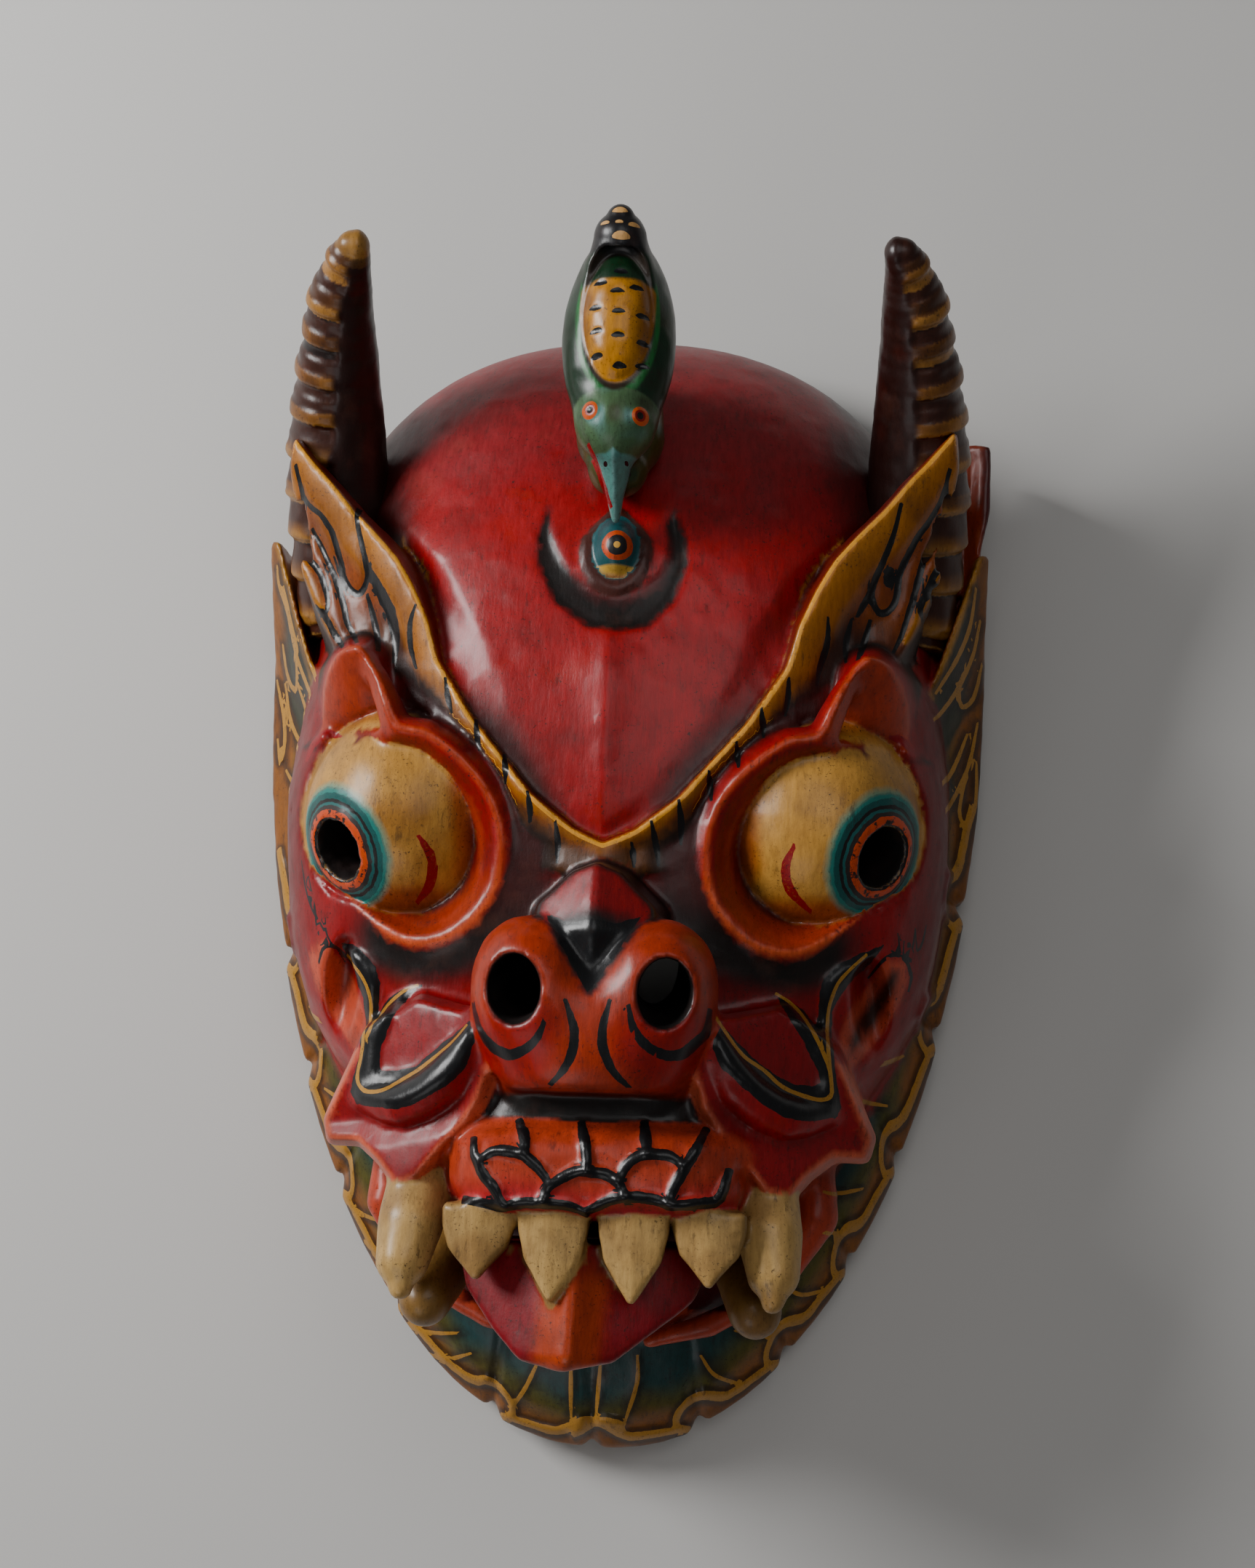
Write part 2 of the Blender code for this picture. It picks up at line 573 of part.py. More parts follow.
def buildHead():
    volume = block((-174, CHIN_Y - 6, -5.2), (174, DOME_Y + 6, noseTop + 8), BLOCK_STEP)
    carveHead(volume)
    hollowBack(volume)
    head = applied(meshOf("mask", volume, 7250))
    for corner in head.data.vertices:
        if corner.co.z < PLANING:
            corner.co.z = 0.0
    head.data.materials.append(paint("varnished red lacquer on carved wood", (0.42, 0.02, 0.02), 0.35))
    return head


def buildHorn(name, side, head):
    lean = LEFT_LEAN / UNIT if side < 0 else 0.0
    curve, radii = hornCurve(lean)
    reach = max(radii) + 4 * PIECE_STEP
    corners = [(side * p[0], p[1], p[2]) for p in curve]
    low = [min(values) - reach for values in zip(*corners)]
    high = [max(values) + reach for values in zip(*corners)]
    volume = block(low, high, PIECE_STEP)
    carveHead(volume)
    buried = -volume["wood"] - 4.0      # below the carved surface by more than the seat needs
    volume["wood"][...] = 60.0
    addWood(volume, low, high, lambda x, y, z: hornForm(x * side, y, z, lean))
    volume["wood"] = np.maximum(volume["wood"], buried)
    horn = applied(meshOf(name, volume, 560))
    seatOn(horn, head)
    horn.data.materials.append(paint(name + " brown stain", (0.10, 0.03, 0.015), 0.3))


def buildBird(head):
    low = [tip + birdScale * side for tip, side in zip(beakTip, (-32, -12, -36))]
    high = [tip + birdScale * side for tip, side in zip(beakTip, (32, 136, 50))]
    volume = block(low, high, PIECE_STEP)
    carveHead(volume)
    buried = -volume["wood"] - 4.0
    volume["wood"][...] = 60.0
    addWood(volume, low, high, birdForm)
    volume["wood"] = np.maximum(volume["wood"], buried)
    bird = applied(meshOf("bird", volume, 800))
    seatOn(bird, head)
    bird.data.materials.append(paint("green and ochre paint", (0.03, 0.12, 0.06), 0.35))


for old in list(bpy.data.objects):
    bpy.data.objects.remove(old, do_unlink=True)
head = buildHead()
buildHorn("horn_left", -1, head)
buildHorn("horn_right", 1, head)
buildBird(head)
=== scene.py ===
import math
import bpy
import numpy as np
import openvdb
from mathutils import Matrix, Vector


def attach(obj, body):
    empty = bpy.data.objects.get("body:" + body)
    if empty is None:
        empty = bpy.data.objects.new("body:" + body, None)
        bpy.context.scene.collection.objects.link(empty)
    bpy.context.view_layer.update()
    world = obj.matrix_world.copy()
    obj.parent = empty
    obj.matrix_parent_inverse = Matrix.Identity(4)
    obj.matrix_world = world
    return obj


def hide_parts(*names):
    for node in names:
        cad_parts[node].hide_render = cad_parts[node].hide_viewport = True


# A carved, painted and varnished wooden demon mask that lies on its flat back on a pale floor.
# Carving measures are in millimetres: x to the viewer's right, y up from eye level, z out of the back plane.
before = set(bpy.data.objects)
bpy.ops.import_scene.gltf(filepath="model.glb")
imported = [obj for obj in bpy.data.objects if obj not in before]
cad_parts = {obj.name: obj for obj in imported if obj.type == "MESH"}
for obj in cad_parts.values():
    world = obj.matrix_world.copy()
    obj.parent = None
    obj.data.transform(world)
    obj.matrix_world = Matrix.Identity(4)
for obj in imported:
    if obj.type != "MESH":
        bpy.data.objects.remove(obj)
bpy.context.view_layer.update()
eyeLevel = 30.0             # y of the frame's origin below the eyes
clear = 99.0                # stands for "nowhere near" in a painted line's distance


# Distances to simple forms
def ellipsoid(x, y, z, centre, radii, power=2.0):
    dx, dy, dz = abs(x - centre[0]), abs(y - centre[1]), abs(z - centre[2])
    level = ((dx / radii[0]) ** power + (dy / radii[1]) ** power + (dz / radii[2]) ** power) ** (1 / power)
    if power != 2.0:
        return (level - 1) * min(radii)
    slope = np.sqrt((dx / radii[0] ** 2) ** 2 + (dy / radii[1] ** 2) ** 2 + (dz / radii[2] ** 2) ** 2)
    return level * (level - 1) / np.maximum(slope, 1e-6)


def cone(x, y, z, start, end, startRadius, endRadius):
    axis = [e - s for s, e in zip(start, end)]
    length = sum(a * a for a in axis)
    dx, dy, dz = x - start[0], y - start[1], z - start[2]
    along = np.clip((dx * axis[0] + dy * axis[1] + dz * axis[2]) / length, 0, 1)
    away = np.sqrt((dx - along * axis[0]) ** 2 + (dy - along * axis[1]) ** 2 + (dz - along * axis[2]) ** 2)
    return away - (startRadius + (endRadius - startRadius) * along)


def sweep(x, y, z, path, radii):
    parts = [cone(x, y, z, a, b, ra, rb) for a, b, ra, rb in zip(path, path[1:], radii, radii[1:])]
    return np.minimum.reduce(parts)


def outline(x, y, corners):
    # signed distance to a flat closed outline, negative inside
    nearest, inside = np.inf, np.zeros(np.broadcast(x, y).shape, bool)
    for (ax, ay), (bx, by) in zip(corners, corners[1:] + corners[:1]):
        ex, ey = bx - ax, by - ay
        along = np.clip(((x - ax) * ex + (y - ay) * ey) / (ex * ex + ey * ey), 0, 1)
        nearest = np.minimum(nearest, (x - ax - along * ex) ** 2 + (y - ay - along * ey) ** 2)
        inside ^= ((ay > y) != (by > y)) & (x < ax + (y - ay) * ex / (ey or 1e-9))
    return np.where(inside, -1, 1) * np.sqrt(nearest)


def smoothCurve(points, steps=6):
    # Catmull-Rom curve through the points
    points = [np.array(p, float) for p in points]
    ends = [2 * points[0] - points[1]] + points + [2 * points[-1] - points[-2]]
    curve = []
    for p0, p1, p2, p3 in zip(ends, ends[1:], ends[2:], ends[3:]):
        for t in np.arange(steps) / steps:
            curve.append(0.5 * (2 * p1 + (p2 - p0) * t + (2 * p0 - 5 * p1 + 4 * p2 - p3) * t ** 2
                                + (3 * p1 - p0 - 3 * p2 + p3) * t ** 3))
    return curve + [points[-1]]


def softMin(a, b, soften):
    overlap = np.clip(soften - abs(a - b), 0, None) / soften
    return np.minimum(a, b) - overlap * overlap * soften / 4


def ramp(value, start, end):
    share = np.clip((value - start) / (end - start), 0, 1)
    return share * share * (3 - 2 * share)


# A volume of wood: signed distances on a grid, negative in the wood
def newVolume(low, high, step):
    axes = [np.arange(a, b + step, step, dtype=np.float32) for a, b in zip(low, high)]
    return {"axes": axes, "step": step, "low": np.array([axis[0] for axis in axes], float),
            "wood": np.full([len(axis) for axis in axes], 60.0, np.float32)}


def window(volume, low, high):
    spans = [slice(*np.searchsorted(axis, (a, b))) for axis, a, b in zip(volume["axes"], low, high)]
    x, y, z = (axis[span] for axis, span in zip(volume["axes"], spans))
    return volume["wood"][tuple(spans)], x[:, None, None], y[None, :, None], z[None, None, :]


def addWood(volume, low, high, form, soften=1.0):
    wood, x, y, z = window(volume, low, high)
    if wood.size:
        wood[...] = softMin(wood, form(x, y, z), soften)


def cutWood(volume, low, high, form, soften=1.0):
    wood, x, y, z = window(volume, low, high)
    if wood.size:
        wood[...] = -softMin(-wood, form(x, y, z), soften)


def bothSides(work, volume, low, high, form, soften=1.0):
    # the same cut or addition on the viewer's right and, mirrored, on the left
    work(volume, low, high, form, soften)
    mirrored = (-high[0], low[1], low[2]), (-low[0], high[1], high[2])
    work(volume, *mirrored, lambda x, y, z: form(-x, y, z), soften)


def unevenness(axes, spacing, seed):
    # smooth random heights, about one in size, for a hand-cut surface
    values = np.random.default_rng(seed).normal(size=[int((a[-1] - a[0]) / spacing) + 3 for a in axes])
    values = values.astype(np.float32)
    for k, axis in enumerate(axes):
        place = (axis - axis[0]) / spacing
        whole = place.astype(int)
        share = place - whole
        share = (share * share * (3 - 2 * share)).reshape([-1 if i == k else 1 for i in range(3)])
        values = np.take(values, whole, axis=k) * (1 - share) + np.take(values, whole + 1, axis=k) * share
    return values


def roundEdges(volume):
    # one light blur takes the saw-tooth off sharp carved edges
    for k in range(3):
        rows = np.moveaxis(volume["wood"], k, 0)
        rows[1:-1] = (rows[:-2] + 2 * rows[1:-1] + rows[2:]) / 4


def meanAround(volume, reach):
    # mean distance in a box round each grid point: below zero in a crevice, above it on a ridge
    field = np.clip(volume["wood"], -9, 9)
    count = max(1, int(reach / volume["step"]))
    for k in range(3):
        rows = np.moveaxis(field, k, 0)
        padded = np.concatenate([np.repeat(rows[:1], count + 1, 0), rows, np.repeat(rows[-1:], count, 0)])
        total = np.cumsum(padded, axis=0, dtype=np.float64)
        field = np.moveaxis((total[2 * count + 1:] - total[:-2 * count - 1]) / (2 * count + 1), 0, k)
        field = field.astype(np.float32)
    return field


def sample(volume, field, places):
    where = (places - volume["low"]) / volume["step"]
    whole = np.clip(where.astype(int), 0, np.array(field.shape) - 2)
    share = np.clip(where - whole, 0, 1)
    result = 0.0
    for corner in range(8):
        bits = [(corner >> k) & 1 for k in range(3)]
        weight = np.prod([share[:, k] if bit else 1 - share[:, k] for k, bit in enumerate(bits)], axis=0)
        result = result + weight * field[tuple(whole[:, k] + bit for k, bit in enumerate(bits))]
    return result


# Flat strokes, seen from the front: carved, raised or painted along a curve
def strokeField(x, y, path, half, taper):
    # offset to the side in half widths, and distance to the stroke's edge
    curve = smoothCurve(path, 4)
    lengths = np.concatenate([[0], np.cumsum([np.hypot(*(b - a)) for a, b in zip(curve, curve[1:])])])
    lengths = lengths / lengths[-1]
    side = np.full(np.broadcast(x, y).shape, clear)
    away = np.full(side.shape, clear)
    for (ax, ay), (bx, by), start, end in zip(curve, curve[1:], lengths, lengths[1:]):
        ex, ey = bx - ax, by - ay
        length = math.hypot(ex, ey) or 1e-6
        along = np.clip(((x - ax) * ex + (y - ay) * ey) / length ** 2, 0, 1)
        part = start + (end - start) * along
        width = half * (1 - taper + taper * np.sin(np.pi * np.clip(part, 0.03, 0.97)) ** 0.6)
        gap = np.hypot(x - ax - along * ex, y - ay - along * ey) - width
        nearer = gap < away
        away = np.where(nearer, gap, away)
        side = np.where(nearer, ((x - ax) * ey - (y - ay) * ex) / length / width, side)
    return side, away


def strokeBox(stroke, reach):
    xs, ys = zip(*stroke["path"])
    low, high = stroke.get("depths", (20, 200))
    return (min(xs) - reach, min(ys) - reach, low), (max(xs) + reach, max(ys) + reach, high)


def relieve(volume, stroke, height):
    # raises the wood along a stroke, or sinks it if the height is negative
    wood, x, y, z = window(volume, *strokeBox(stroke, stroke["half"] + 3))
    if wood.size:
        away = strokeField(x[:, :, 0], y[:, :, 0], stroke["path"], stroke["half"], stroke["taper"])[1]
        profile = np.clip(-away / stroke["half"], -0.35, 1)
        profile = ramp(profile, -0.35, 0.75)
        wood -= (height * profile)[:, :, None]


def strokes(paths, half, taper=0.6, depths=(20, 200)):
    return [{"path": path, "half": half, "taper": taper, "depths": depths} for path in paths]


def paintedLines(places, lines):
    side, away = np.full(len(places), clear), np.full(len(places), clear)
    for stroke in lines:
        low, high = strokeBox(stroke, stroke["half"] + 6)
        near = np.nonzero(((places > low) & (places < high)).all(axis=1))[0]
        if len(near):
            offset, gap = strokeField(places[near, 0], places[near, 1], stroke["path"], stroke["half"],
                                      stroke["taper"])
            nearer = gap < away[near]
            side[near[nearer]], away[near[nearer]] = offset[nearer], gap[nearer]
    return side, away


# Meshes
def meshFrom(name, volume, triangles):
    grid = openvdb.FloatGrid(60.0)
    grid.copyFromArray(np.ascontiguousarray(volume["wood"], dtype=np.float32))
    corners, threes, fours = grid.convertToPolygons(0.0, 0.0)
    corners = corners * volume["step"] + volume["low"]
    fours = fours[keptFaces(len(corners), fours)]
    a, b, c, d = (corners[fours[:, k]] for k in range(4))
    if (np.cross(c - a, d - b) * (a + b + c + d)).sum() < 0:
        fours = fours[:, ::-1]
    used, places = np.unique(fours, return_inverse=True)
    mesh = bpy.data.meshes.new(name)
    mesh.vertices.add(len(used))
    mesh.vertices.foreach_set("co", toFrame(corners[used]).astype(np.float32).ravel())
    mesh.loops.add(fours.size)
    mesh.loops.foreach_set("vertex_index", places.ravel().astype(np.int32))
    mesh.polygons.add(len(fours))
    mesh.polygons.foreach_set("loop_start", np.arange(0, fours.size, 4, dtype=np.int32))
    mesh.update(calc_edges=True)
    piece = bpy.data.objects.new(name, mesh)
    bpy.context.scene.collection.objects.link(piece)
    thin = piece.modifiers.new("thin", "DECIMATE")
    thin.ratio = min(1.0, triangles / (2 * len(fours)))
    thin.use_collapse_triangulate = True
    shaped = bpy.data.meshes.new_from_object(piece.evaluated_get(bpy.context.evaluated_depsgraph_get()))
    piece.modifiers.clear()
    piece.data = shaped
    shaped.shade_smooth()
    print("meshed", name, len(shaped.vertices), "corners,", len(shaped.polygons), "faces")
    return piece


def keptFaces(count, faces):
    # faces of the largest connected shell, so that no crumb is left
    label = np.arange(count)
    while True:
        lowest = label[faces].min(axis=1)
        before = label.copy()
        for k in range(4):
            np.minimum.at(label, faces[:, k], lowest)
        label = label[label]
        if (label == before).all():
            break
    names, sizes = np.unique(label[faces[:, 0]], return_counts=True)
    return label[faces[:, 0]] == names[sizes.argmax()]


def toFrame(places):
    return (places + np.array([0, eyeLevel, 0])) * 0.001


def cornersOf(piece):
    places = np.zeros(len(piece.data.vertices) * 3, np.float32)
    piece.data.vertices.foreach_get("co", places)
    return places.reshape(-1, 3).astype(float) * 1000 - np.array([0, eyeLevel, 0])


def store(piece, values):
    for name, column in values.items():
        kind = "FLOAT_COLOR" if column.ndim == 2 else "FLOAT"
        layer = piece.data.attributes.new(name, kind, "POINT")
        if kind == "FLOAT_COLOR":
            column = np.concatenate([column, np.ones((len(column), 1))], axis=1)
            layer.data.foreach_set("color", column.astype(np.float32).ravel())
        else:
            layer.data.foreach_set("value", column.astype(np.float32))


def farLayers(count):
    # every painted area and line far away, for a piece that lays only its own over them
    far = np.full(count, clear)
    names = ("inkArea", "inkSide", "inkAway", "redSide", "redAway", "giltSide", "giltAway")
    return {**{name: far for name in names}, "bareWood": far * 0}


def colour(code):
    # sRGB hex to linear
    parts = [int(code[i:i + 2], 16) / 255 for i in (1, 3, 5)]
    return np.array([p / 12.92 if p <= 0.04045 else ((p + 0.055) / 1.055) ** 2.4 for p in parts])


def lay(paintwork, share, code):
    # brushes one colour over the paint, thin where the share is small
    paintwork += (colour(code) - paintwork) * np.clip(share, 0, 1)[:, None]


# The head
head = {"step": 1.45, "triangles": 194000, "chin": -291.0, "domeTop": 216.0, "domeHalf": 147.0,
        "domeRim": 20.0, "wall": 20.0, "rimWidth": 17.0, "noseTop": 186.0, "eyeTop": 134.0,
        "collarHalf": 165.0, "collarEdge": 18.0, "chisel": 0.26, "waviness": 0.13,
        "keelHeight": 13.0, "keelHalf": 42.0}


def domeShare(x, y):
    # 0 over the crown, 1 on the dome's outline
    down = np.where(y > 60, (y - 60) / (head["domeTop"] - 60), (60 - y) / 200)
    return (abs(x / head["domeHalf"]) ** 2.35 + abs(down) ** 2.35) ** (1 / 2.35)


def foreheadEdge(y):
    return np.interp(y, [-30, -16, 0, 19, 42, 61, 89, 115, 140], [0, 18, 32, 46, 58, 66, 82, 106, 130])


def domeHeight(x, y):
    share = domeShare(x, y)
    height = head["domeRim"] + 96 * np.clip(1 - share ** 2.35, 0, 1) ** 0.53
    inside = 2 * ramp(foreheadEdge(y) - abs(x), -9, 9) - 1
    keel = head["keelHeight"] * np.clip(1 - abs(x + 1) / head["keelHalf"], 0, 1) ** 2 * ramp(y, 82, 30)
    return height + 6 * inside * ramp(y, 134, 84) + keel


def domeForm(x, y, z):
    edge = (domeShare(x, y) - 1) * 150
    return np.maximum(np.maximum((z - domeHeight(x, y)) * 0.7, edge), -z)


def faceForm(x, y, z):
    cheeks = ellipsoid(x, y, z, (0, -20, 35), (148, 150, 95), 2.5)
    jaw = ellipsoid(x, y, z, (0, -130, 20), (104, 114, 64), 2.3)
    return np.maximum(softMin(cheeks, jaw, 18), -z)


# The scalloped collar: places on it are measured along its edge from the bottom, and inwards from its edge
collar = {"rightNotches": [-3, 46, 96, 146, 196, 254, 312], "leftNotches": [3, 51, 119, 176, 229, 282],
          "notchDepth": 5.0, "lineHeight": 1.9, "lineHalf": 2.4, "knobHeight": 1.6, "knobHalf": 3.6,
          "wingFoot": [(164, 113), (158, 113), (147, 76), (138, 50), (129, 20), (138, -6), (158, 10),
                       (164, 60)]}
collarAngles = np.linspace(0, np.pi / 2, 60)
collarReach = 60 - head["chin"]
collarLengths = np.concatenate([[0], np.cumsum(np.hypot(np.diff(head["collarHalf"] * np.sin(collarAngles)),
                                                        np.diff(collarReach * np.cos(collarAngles))))])


def notchesOn(side):
    return collar["leftNotches" if side < 0 else "rightNotches"]


def collarPlace(x, y):
    # length along the edge from the bottom, and distance outwards from the plain edge
    down = np.clip(60 - y, 0, None)
    level = np.maximum((abs(x / head["collarHalf"]) ** 2.05 + (down / collarReach) ** 2.05) ** (1 / 2.05),
                       0.05)
    away = (level - 1) / level * np.hypot(x, down)
    along = np.interp(np.arctan2(abs(x) / head["collarHalf"], down / collarReach), collarAngles,
                      collarLengths)
    return along + np.clip(y - 60, 0, None), away


def collarOutline(x, y):
    along, away = collarPlace(x, y)
    cut = 0.0
    for side in (-1, 1):
        for mark in notchesOn(side):
            above = along - mark
            notch = np.clip(1 - abs(above) / 4.5, 0, 1)
            notch = notch + 0.22 * np.clip(1 - above / 34, 0, 1) * (above > 0)
            cut = np.maximum(cut, np.where(x * side >= 0, notch, 0))
    return np.maximum(away + cut * collar["notchDepth"], (y - 113) * 0.9)


def collarHeight(away):
    return head["collarEdge"] + 34 * (1 - np.exp(np.clip(away, -80, 0) / 24))


def collarForm(x, y, z):
    away = collarOutline(x, y)
    return np.maximum(np.maximum(away, (z - collarHeight(away)) * 0.75), -z)


def scrollPaths(marks):
    # each scallop's raised line runs along the edge, turns in at the notch below it and curls round a knob
    paths = []
    for lower, upper in zip(marks, marks[1:] + [marks[-1] + 55]):
        gap = upper - lower
        paths.append([(upper - 8, 3), (lower + gap * 0.6, 5), (lower + gap * 0.36, 6), (lower + 12, 8.5),
                      (lower + 5, 13), (lower - 3, 14), (lower - 9, 10.5), (lower - 10, 5), (lower - 6, 2)])
    return paths


def collarRelief(volume):
    wood, x, y, z = window(volume, (-170, -300, 3), (170, 116, 62))
    x, y = x[:, :, 0], y[:, :, 0]
    along, away = collarPlace(x, y)
    raised = np.zeros(along.shape)
    for side in (-1, 1):
        for path in scrollPaths(notchesOn(side)):
            gap = strokeField(along, -away, path, collar["lineHalf"], 0.3)[1]
            profile = ramp(-gap / collar["lineHalf"], -0.5, 0.8) * collar["lineHeight"]
            raised = np.where(x * side > -12, np.maximum(raised, profile), raised)
        for mark in notchesOn(side):
            knob = np.hypot(along - mark + 2, -away - 7) / collar["knobHalf"]
            bump = np.clip(1 - knob ** 2, 0, 1) * collar["knobHeight"]
            eye = 2.2 * np.clip(1 - np.hypot(along - mark - 0.5, -away - 3) / 2.4, 0, 1)
            raised = np.where(x * side > 0, np.maximum(raised, bump) - eye, raised)
        raised = raised - np.where(x * side > 0, 0.9 * ramp(away, -17, -10) * ramp(away, -2, -6), 0)
    wood -= (raised * ramp(away, 4, 0))[:, :, None]


def wingEdge(y):
    # the inner edge of the collar's upper part, along the temple
    return np.interp(y, [-6, 20, 50, 76, 113], [138, 129, 138, 147, 158])


def wingForm(x, y, z):
    height = 66 - 1.9 * np.clip(x - wingEdge(y), 0, None) - 0.10 * np.clip(y - 60, 0, None)
    return np.maximum(np.maximum(outline(x, y, collar["wingFoot"]), (z - height) * 0.6), -z)


def earForm(x, y, z):
    leaf = [(140, 84), (158, 104), (165, 136), (165, 166), (154, 168), (147, 146), (139, 112)]
    tuck = np.where(x < 0, 15, 0)
    flat = outline(abs(x) + tuck, y, leaf)
    hollow = 5 * np.clip(1 - abs(abs(x) + tuck - 154) / 6, 0, 1) * (z > 30)
    return np.maximum(flat, abs(z - 30) - 12 - flat * 0.3 + hollow)


# The brows end in a forked flame on each side
brow = {"rightRise": 8.0, "grooveDepth": 1.9, "tickDepth": 1.3,
        "edge": [(0, -33), (13, -27), (31, -13), (44, 3), (58, 20), (74, 45), (79, 62), (86, 77), (94, 90),
                 (104, 101), (114, 111), (125, 124), (136, 136), (144, 146)],
        "rest": [(146, 132), (145, 116), (143, 101), (140, 90), (131, 70), (121, 52), (109, 50), (92, 40),
                 (79, 31), (65, 20), (54, 9), (44, -3), (37, -16), (30, -42), (0, -48)]}
flameGrooves = strokes([
    [(-143, 133), (-142, 129), (-140, 121), (-141, 115), (-140, 108), (-137, 95), (-133, 90), (-130, 85),
     (-127, 76), (-127, 71), (-129, 69), (-132, 72)],
    [(-130, 70), (-126, 65), (-123, 60), (-117, 52)],
    [(-139, 120), (-136, 116), (-131, 112), (-128, 108), (-125, 103), (-121, 90), (-120, 85), (-117, 80),
     (-113, 77), (-110, 79), (-108, 85), (-110, 94), (-113, 106), (-114, 114)],
    [(-135, 106), (-131, 99), (-127, 91), (-124, 85), (-121, 77), (-119, 71), (-117, 64), (-110, 53)],
    [(-108, 75), (-106, 69), (-104, 62), (-101, 51)],
    [(142, 137), (141, 131), (142, 123), (143, 119), (140, 99), (137, 93), (132, 81), (131, 76), (134, 73),
     (138, 80), (141, 84)],
    [(140, 129), (138, 123), (133, 114), (129, 108), (122, 93), (121, 86), (120, 80), (117, 75), (113, 74),
     (110, 79), (110, 85), (114, 95), (118, 106), (121, 119)],
    [(139, 118), (136, 108), (132, 99), (128, 82), (126, 75), (123, 65), (120, 58)],
    [(145, 98), (141, 87), (137, 78), (133, 68), (130, 60)],
    [(111, 88), (109, 82), (104, 72)], [(109, 69), (107, 61), (104, 50)]], 1.5, 0.55, (66, 150))
flameGrooves += strokes([[(-109, 89), (-106, 84), (-100, 73), (-97, 68), (-95, 61), (-94, 54), (-94, 47)],
                         [(117, 92), (117, 87)], [(137, 88), (136, 84)]], 2.6, 0.75, (66, 150))
browTicks = strokes([
    [(-85, 68), (-87, 62), (-87, 55), (-86, 49), (-84, 43)], [(-70, 36), (-69, 30), (-67, 23)],
    [(-56, 18), (-55, 12), (-54, 7)], [(-43, 3), (-42, -3), (-42, -7)], [(-32, -13), (-31, -19), (-31, -24)],
    [(-20, -25), (-19, -33), (-19, -40)], [(12, -33), (13, -41)], [(20, -24), (22, -33), (23, -40)],
    [(31, -15), (32, -23), (32, -31)], [(43, -2), (44, -12)], [(54, 11), (55, 2)], [(64, 26), (65, 16)],
    [(75, 40), (75, 33), (74, 26)], [(91, 68), (91, 58), (88, 47), (87, 40)],
    [(101, 69), (99, 59), (99, 51)]],
    1.35, 0.7, (90, 165))


def browPlace(x, y):
    # the right flame is carved a little higher than the left one
    return abs(x), y - brow["rightRise"] * np.clip((y - 50) / 95, 0, 1) * (x > 0)


def browBand(x, y):
    # distance from the inner edge, plain and in widths of the gilded band along it
    gap = strokeField(x, y, brow["edge"], 0.01, 0)[1]
    return gap, gap / np.interp(y, [-30, 20, 60, 100, 140], [4, 5.5, 13, 15, 9])


def browHeight(x, y):
    edge = np.interp(y, [-33, -13, 20, 62, 101, 146], [0, 31, 58, 79, 104, 144])
    height = 137 - 0.27 * np.clip(x - 30, 0, None) - 0.30 * np.clip(x - edge, 0, 28)
    return height - 3.5 * ramp(browBand(x, y)[1], 0.9, 1.3) * ramp(y, 38, 62)


def browFlat(x, y):
    across, up = browPlace(x, y)
    return outline(across, up, brow["edge"] + brow["rest"])


def browForm(x, y, z):
    across, up = browPlace(x, y)
    height = browHeight(across, up)
    flat = outline(across, up, brow["edge"] + brow["rest"]) - 0.22 * np.clip(height - z, 0, 40)
    floor = 60 + 34 * np.clip((up - 45) / 50, 0, 1)
    return np.maximum(np.maximum(flat, z - height), floor - z)


# Eyes and lids
eye = {"aims": {1: (0.67, -0.34, 0.66), -1: (-0.625, -0.40, 0.67)}, "long": 58.0, "across": 49.0,
       "centre": (80.0, -15.0, 80.0), "bore": 13.0, "irisStep": 0.9,
       "crest": 1.9, "roll": 7.0, "hollowDepth": 15.0, "hollowWidth": 18.0, "rimHeight": 2.8, "rimAt": 9.0,
       "hoodFoot": 104.0, "hoodRise": 25.0,
       "lid": [(126, 16, 100), (125, 34, 110), (117, 46, 119), (107, 48, 124), (99, 37, 128), (93, 24, 130),
               (88, 14, 129), (77, 12, 130), (65, 4, 130), (55, -5, 129), (47, -17, 127), (43, -32, 125),
               (45, -50, 122), (53, -63, 120), (65, -72, 118), (80, -74, 114), (95, -67, 108),
               (110, -55, 100), (124, -44, 88)]}


def eyePlace(x, y, z, side):
    # the ball reaches up under its hood and is narrower towards the nose
    dx, dy, dz = x - side * eye["centre"][0], y - eye["centre"][1], z - eye["centre"][2]
    dx, dy = np.where(dx * side < 0, dx * 1.12, dx), np.where(dy > 0, dy * 0.88, dy)
    aim = eye["aims"][side]
    along = dx * aim[0] + dy * aim[1] + dz * aim[2]
    return along, np.sqrt(np.clip(dx * dx + dy * dy + dz * dz - along * along, 0, None))


def eyeball(x, y, z, side, grow=0.0):
    along, across = eyePlace(x, y, z, side)
    half = eye["across"] + grow
    return (np.hypot(along / (eye["long"] + grow), across / half) - 1) * half


def irisBall(x, y, z, side):
    # the iris is carved as a low step with a groove round it
    along, across = eyePlace(x, y, z, side)
    step = eye["irisStep"] * (np.exp(-((across - 21.5) / 1.3) ** 2) + 0.6 * ramp(across, 21.5, 19.5))
    return eyeball(x, y, z, side) + step * (along > 0)


def lidMass(x, y, z):
    return ellipsoid(abs(x), y, z, (84, -16, 56), (56, 62, 64))


